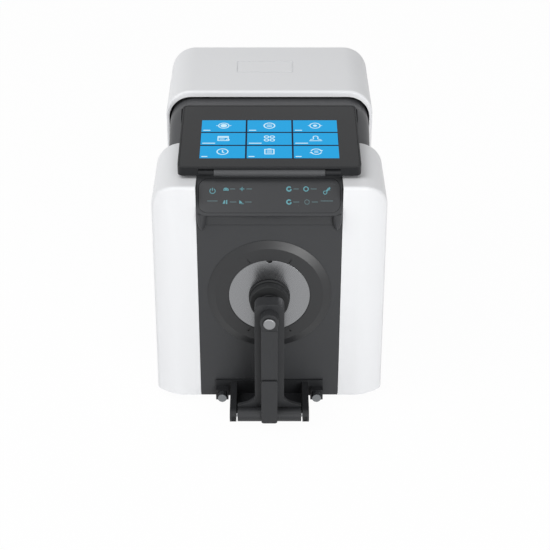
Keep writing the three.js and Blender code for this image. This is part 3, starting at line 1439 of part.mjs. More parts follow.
function makePad() {

	const rim = PAD_FACE + PAD_RIM_LENGTH;
	const ribPitch = ( PAD_BACK - rim ) / PAD_RIBS;
	const profile = [
		[ 0, - PAD_FACE - PAD_RECESS ],
		[ PAD_RECESS_RADIUS, - PAD_FACE - PAD_RECESS ],
		[ PAD_RECESS_RADIUS, - PAD_FACE ],
		[ PAD_RIM_RADIUS, - PAD_FACE ],
		[ PAD_RIM_RADIUS, - rim ]
	];

	for ( let i = 0; i < PAD_RIBS; i ++ ) {

		const start = rim + i * ribPitch;
		profile.push( [ PAD_RADIUS - PAD_RIB_DEPTH, - start ] );
		profile.push( [ PAD_RADIUS, - start - ribPitch / 2 ] );

	}

	profile.push( [ PAD_RADIUS - PAD_RIB_DEPTH, - PAD_BACK ], [ 0, - PAD_BACK ] );
	add( 'sample_pad', turnedY( profile, ROUND_SIDES, 0, PAD_HEIGHT ), blackRubber );

	const collarStart = PAD_BACK + FIT;
	const button = BOSS_FRONT + FIT;
	add( 'plunger', turnedY( [
		[ 0, - collarStart ],
		[ COLLAR_RADIUS, - collarStart ],
		[ COLLAR_RADIUS, - collarStart - COLLAR_LENGTH ],
		[ PLUNGER_RADIUS, - collarStart - COLLAR_LENGTH ],
		[ PLUNGER_RADIUS, - button + FIT ],
		[ 0, - button + FIT ]
	], ROUND_SIDES, 0, PAD_HEIGHT ), steel );
	add( 'plunger_button', turnedY( [
		[ 0, - button ],
		[ BUTTON_RADIUS, - button ],
		[ BUTTON_RADIUS, - button - BUTTON_LENGTH + BUTTON_DISH ],
		[ BUTTON_RADIUS - BUTTON_DISH, - button - BUTTON_LENGTH ],
		[ 0, - button - BUTTON_LENGTH ]
	], ROUND_SIDES, 0, PAD_HEIGHT ), greyPlate );

}

makeFrontShell();
makeFrontPanel();
makeConsole();
makePort();
makeSphere();
makeInnerHousing();
makeSampleWell();
makeHood();
makeHingeBar();
makeDisplay();
makeBase();
makeRear();
makeElectronics();
makeClampBracket();
makeThumbscrews();
makeArm();
makePad();

// The whole stands on its feet, with the middle of its box over the origin

const spectrophotometer = new THREE.Group();
spectrophotometer.add( model );
const extent = new THREE.Box3().setFromObject( model );
model.position.set( 0, - ( extent.min.y + extent.max.y ) / 2, FOOT_HEIGHT );

export default spectrophotometer;
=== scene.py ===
"""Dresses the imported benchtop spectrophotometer: its cases, clamp, display, finishes, light and camera."""
import json
import math

import bmesh
import bpy
from bpy.props import FloatProperty, PointerProperty, StringProperty
from mathutils import Matrix, Vector


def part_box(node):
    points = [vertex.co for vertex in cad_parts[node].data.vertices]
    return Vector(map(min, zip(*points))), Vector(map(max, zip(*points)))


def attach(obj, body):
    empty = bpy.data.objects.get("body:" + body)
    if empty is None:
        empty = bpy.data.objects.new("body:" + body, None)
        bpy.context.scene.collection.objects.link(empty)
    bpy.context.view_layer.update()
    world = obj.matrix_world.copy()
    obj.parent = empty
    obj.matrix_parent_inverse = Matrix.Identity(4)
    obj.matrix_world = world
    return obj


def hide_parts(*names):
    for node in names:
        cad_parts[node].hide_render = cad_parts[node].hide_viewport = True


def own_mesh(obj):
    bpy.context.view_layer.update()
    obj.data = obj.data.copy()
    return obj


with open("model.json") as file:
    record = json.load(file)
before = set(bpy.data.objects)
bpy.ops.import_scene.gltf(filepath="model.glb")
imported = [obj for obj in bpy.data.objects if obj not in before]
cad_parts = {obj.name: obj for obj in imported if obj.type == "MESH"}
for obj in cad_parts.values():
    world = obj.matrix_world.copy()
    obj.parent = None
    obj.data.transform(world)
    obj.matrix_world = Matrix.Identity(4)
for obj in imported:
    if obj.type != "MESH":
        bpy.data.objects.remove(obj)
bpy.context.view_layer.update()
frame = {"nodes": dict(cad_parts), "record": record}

bl_info = {
    "name": "Benchtop Spectrophotometer",
    "version": (1, 0, 0),
    "blender": (4, 5, 0),
    "location": "3D View > Sidebar > Instrument",
    "description": "Builds a benchtop spectrophotometer: its cases, clamp, display and finishes",
    "category": "Object",
}

MM = 0.001

# Places are given from the middle of the front panel's lower edge: x right, y back, z up.
PANEL_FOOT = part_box("front_panel")[0]
SHELL_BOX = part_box("front_shell")
HOOD_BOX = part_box("hood")
PORT_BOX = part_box("port_ring")
PAD_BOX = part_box("sample_pad")
PORT_AXIS_Z = (PORT_BOX[0].z + PORT_BOX[1].z) / 2
PAD_AXIS_Z = (PAD_BOX[0].z + PAD_BOX[1].z) / 2


def at(x, y, z):
    """A point in the frame, from its place in millimetres on the front panel."""
    return Vector((x * MM, PANEL_FOOT.y + y * MM, PANEL_FOOT.z + z * MM))


# Colours and node trees


def colour(hex_value):
    """An sRGB hex value as linear RGBA."""
    channels = [int(hex_value[i:i + 2], 16) / 255 for i in (1, 3, 5)]
    linear = [c / 12.92 if c <= 0.04045 else ((c + 0.055) / 1.055) ** 2.4 for c in channels]
    return (*linear, 1.0)


def add_node(tree, kind, settings=None, inputs=None):
    """Adds one node: settings are its own values, inputs are values or the sockets that feed it."""
    node = tree.nodes.new(kind)
    for key, value in (settings or {}).items():
        setattr(node, key, value)
    for key, value in (inputs or {}).items():
        if isinstance(value, bpy.types.NodeSocket):
            tree.links.new(value, node.inputs[key])
        else:
            node.inputs[key].default_value = value
    return node


def new_material(name):
    """An empty material with its output node and Object coordinates."""
    material = bpy.data.materials.new(name)
    material.use_nodes = True
    tree = material.node_tree
    tree.nodes.clear()
    output = add_node(tree, "ShaderNodeOutputMaterial")
    place = add_node(tree, "ShaderNodeTexCoord").outputs["Object"]
    return material, tree, output, place


# Finer grain than this, in millimetres, is drawn this coarse, because the render shows nothing finer.
FINEST_GRAIN = 0.6


def finished(name, base, gloss, grain, cloud, **surface):
    """A surface with fine grain in its bump, and slow drift in its gloss and its colour.

    gloss is the roughness and how far it drifts. grain is the size and the depth of the bump, and
    cloud the size of the drift, in millimetres, and how much darker it makes the colour.
    """
    material, tree, output, place = new_material(name)
    roughness, drift = gloss
    grain_size, grain_depth = grain
    cloud_size, tint = cloud
    fine = add_node(tree, "ShaderNodeTexNoise", inputs={
        "Vector": place, "Scale": 1 / (max(grain_size, FINEST_GRAIN) * MM), "Detail": 3.0, "Roughness": 0.6})
    slow = add_node(tree, "ShaderNodeTexNoise", inputs={
        "Vector": place, "Scale": 1 / (cloud_size * MM), "Detail": 4.0, "Roughness": 0.55})
    drifting = add_node(tree, "ShaderNodeMapRange", inputs={
        "Value": slow.outputs["Fac"], "From Min": 0.3, "From Max": 0.7,
        "To Min": roughness - drift, "To Max": roughness + drift})
    darker = [channel * (1 - tint) for channel in colour(base)[:3]]
    blend = add_node(tree, "ShaderNodeMix", {"data_type": "RGBA"}, {
        0: slow.outputs["Fac"], 6: (*darker, 1.0), 7: colour(base)})
    bump = add_node(tree, "ShaderNodeBump", inputs={
        "Strength": 0.35, "Distance": grain_depth * MM, "Height": fine.outputs["Fac"]})
    shader = add_node(tree, "ShaderNodeBsdfPrincipled", inputs={
        "Base Color": blend.outputs[2], "Roughness": drifting.outputs["Result"],
        "Normal": bump.outputs["Normal"], **surface})
    tree.links.new(shader.outputs["BSDF"], output.inputs["Surface"])
    return material


def turned_metal(name, base, roughness, groove_mm, centre, axis):
    """Turned metal: tool marks run round the axis, so gloss changes in rings."""
    material, tree, output, place = new_material(name)
    moved = add_node(tree, "ShaderNodeVectorMath", {"operation": "SUBTRACT"}, {0: place, 1: centre})
    flat = [0.0 if index == axis else 1.0 for index in range(3)]
    across = add_node(tree, "ShaderNodeVectorMath", {"operation": "MULTIPLY"}, {0: moved.outputs[0], 1: flat})
    radius = add_node(tree, "ShaderNodeVectorMath", {"operation": "LENGTH"}, {0: across.outputs[0]})
    ring = add_node(tree, "ShaderNodeMath", {"operation": "MULTIPLY"}, {
        0: radius.outputs["Value"], 1: math.tau / (groove_mm * MM)})
    wave = add_node(tree, "ShaderNodeMath", {"operation": "SINE"}, {0: ring.outputs[0]})
    gloss = add_node(tree, "ShaderNodeMapRange", inputs={
        "Value": wave.outputs[0], "From Min": -1.0, "From Max": 1.0,
        "To Min": roughness - 0.06, "To Max": roughness + 0.08})
    bump = add_node(tree, "ShaderNodeBump", inputs={
        "Strength": 0.25, "Distance": 0.02 * MM, "Height": wave.outputs[0]})
    shader = add_node(tree, "ShaderNodeBsdfPrincipled", inputs={
        "Base Color": colour(base), "Metallic": 1.0, "Roughness": gloss.outputs["Result"],
        "Normal": bump.outputs["Normal"]})
    tree.links.new(shader.outputs["BSDF"], output.inputs["Surface"])
    return material


def glowing(name, shown, strength, roughness=0.3, unlit_share=0.12):
    """A lit colour, such as a display's picture: the surface under it is nearly black."""
    material, tree, output, place = new_material(name)
    unlit = [channel * unlit_share for channel in colour(shown)[:3]]
    fine = add_node(tree, "ShaderNodeTexNoise", inputs={"Vector": place, "Scale": 1 / (1.2 * MM)})
    gloss = add_node(tree, "ShaderNodeMapRange", inputs={
        "Value": fine.outputs["Fac"], "To Min": roughness - 0.05, "To Max": roughness + 0.05})
    shader = add_node(tree, "ShaderNodeBsdfPrincipled", inputs={
        "Base Color": (*unlit, 1.0), "Roughness": gloss.outputs["Result"], "Specular IOR Level": 0.06,
        "Emission Color": colour(shown), "Emission Strength": strength})
    tree.links.new(shader.outputs["BSDF"], output.inputs["Surface"])
    return material


FINISHES = {}
# Textured plastic and powder coat scatter much of the light that a smooth surface would reflect.
DULL = {"Specular IOR Level": 0.3}
# An anti-glare coat leaves even less.
MATT = {"Specular IOR Level": 0.2}
METAL = {"Metallic": 1.0}
ALONG_X, ALONG_Y = 0, 1


def make_finishes(look):
    """Every finish of the instrument, by its short name."""
    foot = tuple(at(0, 0, 0))
    pad_axis, port_axis = (0.0, 0.0, PAD_AXIS_Z), (0.0, 0.0, PORT_AXIS_Z)
    FINISHES.update({
        # Injection-moulded ABS from a fine-blasted tool: an even satin gloss with a trace of flow in it.
        "white_abs": finished(
            "White ABS, satin moulded", look.white, (0.46, 0.03), (0.9, 0.012), (60.0, 0.012),
            **DULL, IOR=1.5),
        # ABS from a spark-eroded tool: a fine pebble that spreads highlights into a grey sheen.
        "dark_abs": finished(
            "Charcoal ABS, spark-textured", look.charcoal, (0.48, 0.05), (0.7, 0.03), (30.0, 0.06), **DULL),
        # The same plastic from a smoother tool: a softer, more even grey.
        "waist_abs": finished(
            "Charcoal ABS, satin", look.charcoal_waist, (0.42, 0.04), (0.8, 0.02), (40.0, 0.05), **DULL),
        # Acrylic sheet over dark print: the clearest reflection on the instrument.
        "touch": finished(
            "Acrylic touch cover", look.touch, (0.26, 0.03), (2.0, 0.003), (45.0, 0.04), **DULL),
        # ABS under an anti-glare coat: nearly black, with a low, even sheen.
        "display_abs": finished(
            "Charcoal ABS, display case", look.display, (0.4, 0.04), (0.8, 0.015), (40.0, 0.04), **MATT),
        # Etched cover over dark print: it shows the room only as a haze.
        "display_glass": finished(
            "Display cover, matt", look.display, (0.34, 0.03), (3.0, 0.002), (60.0, 0.03), **MATT),
        # Die-cast aluminium under a charcoal powder coat: a soft orange peel.
        "casting": finished(
            "Die-cast aluminium, charcoal powder coat", look.casting,
            (0.42, 0.06), (1.1, 0.035), (22.0, 0.08), **DULL),
        # Satin ABS: smooth enough to carry a bright streak round the ring's bevel.
        "port": finished(
            "Charcoal ABS, satin port ring", look.port, (0.36, 0.03), (0.7, 0.006), (25.0, 0.05)),
        # Grey ABS, a shade lighter than the cases it joins.
        "hinge": finished(
            "Grey ABS, hinge bar", look.hinge, (0.42, 0.04), (0.7, 0.02), (20.0, 0.04), **DULL),
        # Nitrile rubber: dark, with a dusty bloom that keeps gloss low.
        "rubber": finished(
            "Nitrile rubber, moulded", "#232425", (0.62, 0.08), (0.8, 0.03), (9.0, 0.12), **DULL),
        # Aluminium faced on a lathe and blasted with beads: a pale frost over faint rings.
        "aperture": turned_metal(
            "Aluminium, faced and bead-blasted", look.aperture, 0.24, 1.4, port_axis, ALONG_Y),
        # Aluminium straight from the lathe: its end catches the light in rings.
        "button": turned_metal("Aluminium, turned button", "#919294", 0.36, 1.1, pad_axis, ALONG_Y),
        # The same powder coat on folded steel, duller than the castings. Its colour is set darker than theirs
        # partly as painted shade, for the shadow that the clamp casts over the bracket.
        "bracket": finished(
            "Steel, black powder coat", look.bracket, (0.5, 0.03), (1.0, 0.03), (20.0, 0.08), **DULL),
        # Nickel plate on knurled steel: a cool, hard shine.
        "screw": turned_metal("Nickel-plated steel, knurled", "#7d8082", 0.34, 0.9, foot, ALONG_X),
        # Nickel plate on brass blades: a warm bright metal.
        "brass": finished("Nickel-plated brass", "#c9c4b4", (0.3, 0.06), (0.8, 0.01), (8.0, 0.06), **METAL),
        # Ink stamped on by a soft pad: flat white with no edge to it.
        "mark": finished("White pad print", "#dcdedf", (0.5, 0.04), (0.7, 0.005), (6.0, 0.04)),
        # Turned stainless steel: bright, with marks round its length.
        "steel": turned_metal("Stainless steel, turned", "#b9babc", 0.3, 0.9, foot, ALONG_X),
        # Zinc plate: a cloudy, bluish grey.
        "zinc": finished("Zinc-plated steel", "#a9adb0", (0.38, 0.1), (1.2, 0.01), (12.0, 0.1), **METAL),
        # Drawn wire: smooth and greyish.
        "spring": finished(
            "Spring steel wire", "#9a9da0", (0.3, 0.06), (0.8, 0.01), (6.0, 0.08), **METAL),
        # Extruded aluminium, left as it comes from the die: a dull silver.
        "aluminium": finished(
            "Extruded aluminium", "#b5b8bb", (0.4, 0.06), (0.9, 0.015), (15.0, 0.06), **METAL),
        # Barium sulphate paint: chalk white without any gloss.
        "sphere": finished("Barium sulphate coating", "#f4f4f0", (0.92, 0.04), (0.9, 0.04), (18.0, 0.02)),
        # Moulded nylon: black, with a waxy shine.
        "black": finished("Black nylon, moulded", "#1d1e20", (0.5, 0.06), (0.7, 0.02), (14.0, 0.08)),
        # Solder mask over glass-fibre board: a glossy green lacquer.
        "board": finished("Green solder mask", "#1c5a3b", (0.35, 0.05), (1.0, 0.02), (10.0, 0.15)),
        # Polished silica: clear, with a sharp reflection.
        "window": finished(
            "Fused silica window", "#dfe8ec", (0.08, 0.02), (3.0, 0.001), (20.0, 0.01),
            **{"Transmission Weight": 0.9}, IOR=1.46),
        # Lit liquid crystal: a flat colour of its own, whatever the room does.
        "tile": glowing("Display tile, lit blue", look.tile, 0.92),
        "ground": glowing("Display ground, lit navy", "#0a1634", 0.8),
        "sign": glowing("Display sign, lit pale blue", "#c4e6f5", 0.95),
        # Screen print under the touch cover: a flat, slightly dull teal.
        "print": finished("Teal print", look.print, (0.4, 0.04), (0.8, 0.005), (10.0, 0.03)),
        "print_fine": finished("Teal print, fine", look.print_fine, (0.4, 0.04), (0.8, 0.005), (10.0, 0.03)),
    })


# Meshes


# Points nearer than this, in metres, are one point in a new mesh, and in a copy of a frame solid.
NEW_WELD, FRAME_WELD = 1e-6, 2e-6


def mesh_from(name, points, faces):
    """A mesh of these points and faces."""
    mesh = bpy.data.meshes.new(name)
    mesh.from_pydata([tuple(p) for p in points], [], faces)
    mesh.update()
    return mesh


def tidied(mesh):
    """The mesh with double points merged and all faces pointing out."""
    work = bmesh.new()
    work.from_mesh(mesh)
    bmesh.ops.remove_doubles(work, verts=work.verts, dist=NEW_WELD)
    bmesh.ops.recalc_face_normals(work, faces=work.faces)
    work.to_mesh(mesh)
    work.free()
    return mesh


def after(mesh, *modifiers):
    """The mesh as a row of modifiers leaves it; each is (kind, settings)."""
    holder = bpy.data.objects.new("holder", mesh)
    bpy.context.scene.collection.objects.link(holder)
    for kind, settings in modifiers:
        modifier = holder.modifiers.new(kind.lower(), kind)
        for key, value in settings.items():
            setattr(modifier, key, value)
    depsgraph = bpy.context.evaluated_depsgraph_get()
    result = bpy.data.meshes.new_from_object(
        holder.evaluated_get(depsgraph), preserve_all_data_layers=True, depsgraph=depsgraph)
    bpy.data.objects.remove(holder)
    return result


FLAT_FACES = ("WEIGHTED_NORMAL", {"keep_sharp": True, "weight": 60})


def rounded(mesh, width_mm, segments=3, angle=30):
    """The mesh with its sharp edges rounded and its flats kept flat to the eye."""
    mesh.shade_smooth()
    return after(
        mesh,
        ("BEVEL", {"width": width_mm * MM, "segments": segments, "limit_method": "ANGLE",
                   "angle_limit": math.radians(angle), "use_clamp_overlap": True,
                   "harden_normals": False, "miter_outer": "MITER_ARC"}),
        FLAT_FACES)


def carved(mesh, *cutters, operation="DIFFERENCE"):
    """The mesh less its cutters, or joined with them."""
    tools = []
    for cutter in cutters:
        tool = bpy.data.objects.new("cutter", cutter)
        bpy.context.scene.collection.objects.link(tool)
        tools.append(tool)
    steps = [("BOOLEAN", {"operation": operation, "solver": "EXACT", "object": tool}) for tool in tools]
    result = after(mesh, *steps)
    for tool in tools:
        bpy.data.objects.remove(tool)
    return result


def whole_faces(mesh, flat_within=0.4):
    """The mesh with each side that is flat, within an angle in degrees, as one face ready for rounding."""
    source = bmesh.new()
    source.from_mesh(mesh)
    bmesh.ops.remove_doubles(source, verts=source.verts, dist=FRAME_WELD)
    bmesh.ops.dissolve_limit(
        source, angle_limit=math.radians(flat_within), use_dissolve_boundaries=False,
        verts=source.verts, edges=source.edges, delimit=set())
    source.verts.index_update()
    points = [vertex.co.copy() for vertex in source.verts]
    faces = [[vertex.index for vertex in face.verts] for face in source.faces]
    source.free()
    return mesh_from("whole", points, faces)


def welded(node):
    """A copy of a frame solid as whole flat faces."""
    return whole_faces(frame["nodes"][node].data)


def face_towards(node, towards, right=(1, 0, 0)):
    """Where a node's broad face on one side lies: its middle, with x to the right and y up the face."""
    mesh = frame["nodes"][node].data
    towards, right = Vector(towards).normalized(), Vector(right)
    sides = {}
    for face in mesh.polygons:
        key = tuple(round(part, 2) for part in face.normal)
        sides.setdefault(key, []).append(face)
    # The high power leaves out all sides but those that nearly face this way.
    broadest = max(sides.values(), key=lambda faces: sum(
        face.area * max(0.0, face.normal.dot(towards)) ** 8 for face in faces))
    normal = sum((face.normal * face.area for face in broadest), Vector()).normalized()
    up = normal.cross(right)
    corners = [mesh.vertices[index].co for face in broadest for index in face.vertices]
    middle = [(min(axis.dot(c) for c in corners) + max(axis.dot(c) for c in corners)) / 2
              for axis in (right, up, normal)]
    matrix = Matrix((right, up, normal)).transposed().to_4x4()
    matrix.translation = right * middle[0] + up * middle[1] + normal * middle[2]
    return matrix


def block(low, high):
    """A box between two corners."""
    centre, size = (low + high) / 2, high - low
    work = bmesh.new()
    bmesh.ops.create_cube(work, size=1.0, matrix=Matrix.Translation(centre) @ Matrix.Diagonal((*size, 1.0)))
    mesh = bpy.data.meshes.new("block")
    work.to_mesh(mesh)
    work.free()
    return mesh


def softened(points, radius, steps=3):
    """A closed outline with each corner turned into an arc no longer than its sides allow."""
    result = []
    count = len(points)
    for i, corner in enumerate(points):
        corner = Vector(corner)
        before = Vector(points[i - 1]) - corner
        behind = Vector(points[(i + 1) % count]) - corner
        reach = min(radius, before.length * 0.45, behind.length * 0.45)
        if reach < 1e-7:
            result.append(corner)
            continue
        start, end = corner + before.normalized() * reach, corner + behind.normalized() * reach
        for k in range(steps + 1):
            t = k / steps
            result.append(start * (1 - t) ** 2 + corner * 2 * t * (1 - t) + end * t ** 2)
    return result


def turned(profile, middle, turn=None, segments=96, soften_mm=0.0):
    """A profile of (radius, height) pairs in millimetres, turned about +Z and then placed.

    The profile runs from the axis to the axis, or closes on itself.
    """
    on_axis = profile[0][0] == 0
    points = [Vector((r * MM, h * MM)) for r, h in profile]
    if soften_mm:
        arcs = softened(points, soften_mm * MM)
        # An end on the axis stays one point, so the four points of its arc go.
        points = [points[0], *arcs[4:-4], points[-1]] if on_axis else arcs
    work = bmesh.new()
    rings = []
    for r, h in points:
        if r < 1e-9:
            rings.append([work.verts.new((0, 0, h))])
        else:
            rings.append([work.verts.new((
                r * math.cos(k * math.tau / segments), r * math.sin(k * math.tau / segments), h))
                for k in range(segments)])
    pairs = list(zip(rings, rings[1:])) + ([] if on_axis else [(rings[-1], rings[0])])
    for low, high in pairs:
        for k in range(segments):
            n = (k + 1) % segments
            around = (low[k % len(low)], low[n % len(low)], high[n % len(high)], high[k % len(high)])
            corners = list(dict.fromkeys(around))
            if len(corners) > 2:
                work.faces.new(corners)
    bmesh.ops.recalc_face_normals(work, faces=work.faces)
    place = Matrix.Translation(middle) @ (turn or Matrix.Identity(4))
    bmesh.ops.transform(work, matrix=place, verts=work.verts)
    mesh = bpy.data.meshes.new("turned")
    work.to_mesh(mesh)
    work.free()
    mesh.shade_smooth()
    mesh.set_sharp_from_angle(angle=math.radians(38))
    return after(mesh, FLAT_FACES)


# Turning a part's height axis towards the front, which is -Y, the rear, or the right, which is +X
TO_FRONT = Matrix.Rotation(math.radians(90), 4, "X")
TO_REAR = Matrix.Rotation(math.radians(-90), 4, "X")
TO_RIGHT = Matrix.Rotation(math.radians(90), 4, "Y")


def arch(half, top, corner, bottom, depth_at, flare=0.0):
    """One cross-section of an arched cover, in millimetres."""
    return {"half": half, "top": top, "corner": corner, "bottom": bottom,
            "depth_at": depth_at, "flare": flare}


def arch_loft(sections, arc_steps=18, columns=72):
    """A closed solid through arched sections, from the front one to the rear one."""
    shares = [-1 + 2 * column / columns for column in range(columns + 1)]
    grids = []
    for section in sections:
        half, top, corner = section["half"], section["top"], section["corner"]
        depth_at = section["depth_at"]
        rows = [(half + section["flare"], section["bottom"]), (half, top - corner)]
        for step in range(1, arc_steps + 1):
            angle = step / arc_steps * math.pi / 2
            rows.append((half - corner * (1 - math.cos(angle)), top - corner * (1 - math.sin(angle))))
        grids.append([[at(reach * share, depth_at(reach * share), z) for share in shares]
                      for reach, z in rows])
    points, faces = [], []

    def put(point):
        points.append(point)
        return len(points) - 1

    rings = []
    for grid in grids:
        loop = [row[0] for row in grid] + grid[-1][1:-1] + [row[-1] for row in reversed(grid)]
        loop += list(reversed(grid[0][1:-1]))
        rings.append([put(point) for point in loop])
    for near, far in zip(rings, rings[1:]):
        for k in range(len(near)):
            n = (k + 1) % len(near)
            faces.append((near[k], near[n], far[n], far[k]))
    for grid in (grids[0], grids[-1]):
        cap = [[put(point) for point in row] for row in grid]
        for lower, upper in zip(cap, cap[1:]):
            for c in range(columns):
                faces.append((lower[c], lower[c + 1], upper[c + 1], upper[c]))
    return tidied(mesh_from("arch", points, faces))


def rounded_edge(radius, section_at, steps=6):
    """Sections of a rounded rim, each drawn in by less and lying further back."""
    angles = [i / steps * math.pi / 2 for i in range(steps + 1)]
    return [section_at(radius * (1 - math.sin(a)), radius * (1 - math.cos(a))) for a in angles]


# Growing what repeats with Geometry Nodes


def geometry_tree(name, sockets):
    """A tree with the named inputs and one geometry output."""
    tree = bpy.data.node_groups.new(name, "GeometryNodeTree")
    for label, kind, default in sockets:
        socket = tree.interface.new_socket(label, in_out="INPUT", socket_type=kind)
        if default is not None:
            socket.default_value = default
    tree.interface.new_socket("Geometry", in_out="OUTPUT", socket_type="NodeSocketGeometry")
    return tree, add_node(tree, "NodeGroupInput").outputs


def end_tree(tree, geometry, material):
    """Ends a tree with real geometry in one material."""
    real = add_node(tree, "GeometryNodeRealizeInstances", inputs={"Geometry": geometry})
    coated = add_node(tree, "GeometryNodeSetMaterial", inputs={
        "Geometry": real.outputs[0], "Material": material})
    add_node(tree, "NodeGroupOutput", inputs={"Geometry": coated.outputs[0]})


def grown(tree, values, mesh=None):
    """The plain mesh that a tree grows with these values on a mesh."""
    holder = bpy.data.objects.new("grower", mesh or bpy.data.meshes.new("seed"))
    bpy.context.scene.collection.objects.link(holder)
    modifier = holder.modifiers.new("grow", "NODES")
    modifier.node_group = tree
    for item in tree.interface.items_tree:
        if item.in_out == "INPUT" and item.name in values:
            modifier[item.identifier] = values[item.name]
    depsgraph = bpy.context.evaluated_depsgraph_get()
    depsgraph.update()
    result = bpy.data.meshes.new_from_object(holder.evaluated_get(depsgraph), depsgraph=depsgraph)
    holder.modifiers.remove(modifier)
    bpy.data.objects.remove(holder)
    return result


def copies_tree(material):
    """Copies of one shape on every point of a mesh."""
    tree, given = geometry_tree("Copies on points", [
        ("Points", "NodeSocketGeometry", None), ("Shape", "NodeSocketObject", None)])
    shape = add_node(tree, "GeometryNodeObjectInfo", inputs={"Object": given["Shape"]})
    dots = add_node(tree, "GeometryNodeMeshToPoints", inputs={"Mesh": given["Points"]})
    copies = add_node(tree, "GeometryNodeInstanceOnPoints", inputs={
        "Points": dots.outputs[0], "Instance": shape.outputs["Geometry"]})
    end_tree(tree, copies.outputs[0], material)
    return tree


def copied(shape, places, material):
    """One mesh holding a copy of the shape at each place."""
    pattern = bpy.data.objects.new("pattern", shape)
    bpy.context.scene.collection.objects.link(pattern)
    result = grown(copies_tree(material), {"Shape": pattern}, mesh_from("places", places, []))
    bpy.data.objects.remove(pattern)
    return result


def coil_tree(material):
    """A helical spring that climbs along +Z."""
    tree, given = geometry_tree("Helical spring", [
        ("Turns", "NodeSocketFloat", 4.0), ("Radius", "NodeSocketFloat", 5 * MM),
        ("Length", "NodeSocketFloat", 8 * MM), ("Wire", "NodeSocketFloat", 0.4 * MM)])
    spiral = add_node(tree, "GeometryNodeCurveSpiral", inputs={
        "Resolution": 28, "Rotations": given["Turns"], "Start Radius": given["Radius"],
        "End Radius": given["Radius"], "Height": given["Length"]})
    section = add_node(tree, "GeometryNodeCurvePrimitiveCircle", inputs={
        "Resolution": 10, "Radius": given["Wire"]})
    wire = add_node(tree, "GeometryNodeCurveToMesh", inputs={
        "Curve": spiral.outputs[0], "Profile Curve": section.outputs[0], "Fill Caps": True})
    smooth = add_node(tree, "GeometryNodeSetShadeSmooth", inputs={0: wire.outputs[0]})
    end_tree(tree, smooth.outputs[0], material)
    return tree


# Pieces


def piece(name, mesh, finish, body, stands_for=()):
    """A finished piece that rides on its body and wears one finish."""
    thing = bpy.data.objects.new(name, mesh)
    bpy.context.scene.collection.objects.link(thing)
    mesh.materials.clear()
    mesh.materials.append(FINISHES[finish])
    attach(thing, body)
    if stands_for:
        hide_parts(*stands_for)
    return thing


def merged(*meshes):
    """Several meshes as one."""
    work = bmesh.new()
    for mesh in meshes:
        work.from_mesh(mesh)
    mesh = bpy.data.meshes.new("merged")
    work.to_mesh(mesh)
    work.free()
    return mesh


def body_of(node):
    """The body that a frame solid belongs to."""
    bodies = frame["record"]["behaviour"]["bodies"]
    return next(body for body, nodes in bodies.items() if node in nodes)


def joint(name):
    """A joint's row in the record."""
    return next(row for row in frame["record"]["behaviour"]["joints"] if row["name"] == name)


def dressed(name, node, finish, width_mm, segments=3, angle=30):
    """A frame solid with rounded edges, standing for the plain one."""
    mesh = rounded(welded(node), width_mm, segments, angle)
    return piece(name, mesh, finish, body_of(node), [node])


def made(name, mesh, node, finish):
    """A new mesh that stands for a frame solid."""
    return piece(name, mesh, finish, body_of(node), [node])


# Signs: flat strokes and patches on a surface


class Sheet:
    """A flat drawing on a surface, in millimetres round a movable centre, gathered into one thin mesh."""

    def __init__(self, matrix, thickness_mm=0.12):
        self.matrix = matrix
        self.thickness = thickness_mm * MM
        self.centre = (0.0, 0.0)
        self.points = []
        self.faces = []

    def move(self, x, y):
        """Moves the centre that the next shapes are drawn round."""
        self.centre = (x, y)
        return self

    def patch(self, outline):
        """A filled convex outline in millimetres."""
        start, count = len(self.points), len(outline)
        for height in (0.0, self.thickness):
            self.points += [self.matrix @ Vector((
                (self.centre[0] + x) * MM, (self.centre[1] + y) * MM, height)) for x, y in outline]
        self.faces.append([start + k for k in reversed(range(count))])
        self.faces.append([start + count + k for k in range(count)])
        for k in range(count):
            n = (k + 1) % count
            self.faces.append([start + k, start + n, start + count + n, start + count + k])

    def stroke(self, path, width):
        """A band of one width along each straight piece of a path."""
        for (ax, ay), (bx, by) in zip(path, path[1:]):
            along = Vector((bx - ax, by - ay)).normalized() * width / 2
            side = Vector((-along.y, along.x))
            a, b = Vector((ax, ay)) - along * 0.5, Vector((bx, by)) + along * 0.5
            self.patch([a - side, b - side, b + side, a + side])

    def ring(self, x, y, radius, width, start=0.0, turn=360.0, steps=28):
        """A round band, or an arc of one, between two radii."""
        count = max(3, round(steps * turn / 360))
        for k in range(count):
            angles = [math.radians(start + turn * (k + d) / count) for d in (0, 1)]
            inner, outer = radius - width / 2, radius + width / 2
            corners = [(inner, angles[0]), (outer, angles[0]), (outer, angles[1]), (inner, angles[1])]
            self.patch([(x + r * math.cos(a), y + r * math.sin(a)) for r, a in corners])

    def disc(self, x, y, radius, steps=20):
        """A filled circle."""
        angles = [k * math.tau / steps for k in range(steps)]
        self.patch([(x + radius * math.cos(a), y + radius * math.sin(a)) for a in angles])

    def bar(self, x, y, width, height):
        """A plain bar with round ends."""
        self.patch(softened_flat(width, height, height * 0.4, x, y))

    def frame(self, width, height, line):
        """The outline of a rectangle."""
        x, y = width / 2, height / 2
        self.stroke([(-x, -y), (x, -y), (x, y), (-x, y), (-x, -y)], line)

    def mesh(self):
        """All that was drawn."""
        return mesh_from("sheet", self.points, self.faces)


def softened_flat(width, height, corner, x=0.0, y=0.0, steps=5):
    """A rectangle with round corners, anticlockwise."""
    result = []
    for cx, cy, start in ((1, 1, 0), (-1, 1, 90), (-1, -1, 180), (1, -1, 270)):
        for k in range(steps + 1):
            angle = math.radians(start + 90 * k / steps)
            result.append((x + cx * (width / 2 - corner) + corner * math.cos(angle),
                           y + cy * (height / 2 - corner) + corner * math.sin(angle)))
    return result


# Signs of the console, each round its own centre


def power_sign(s):
    s.ring(0, 0, 2.8, 0.85, 120, 300)
    s.stroke([(0, 0.4), (0, 3.4)], 0.85)


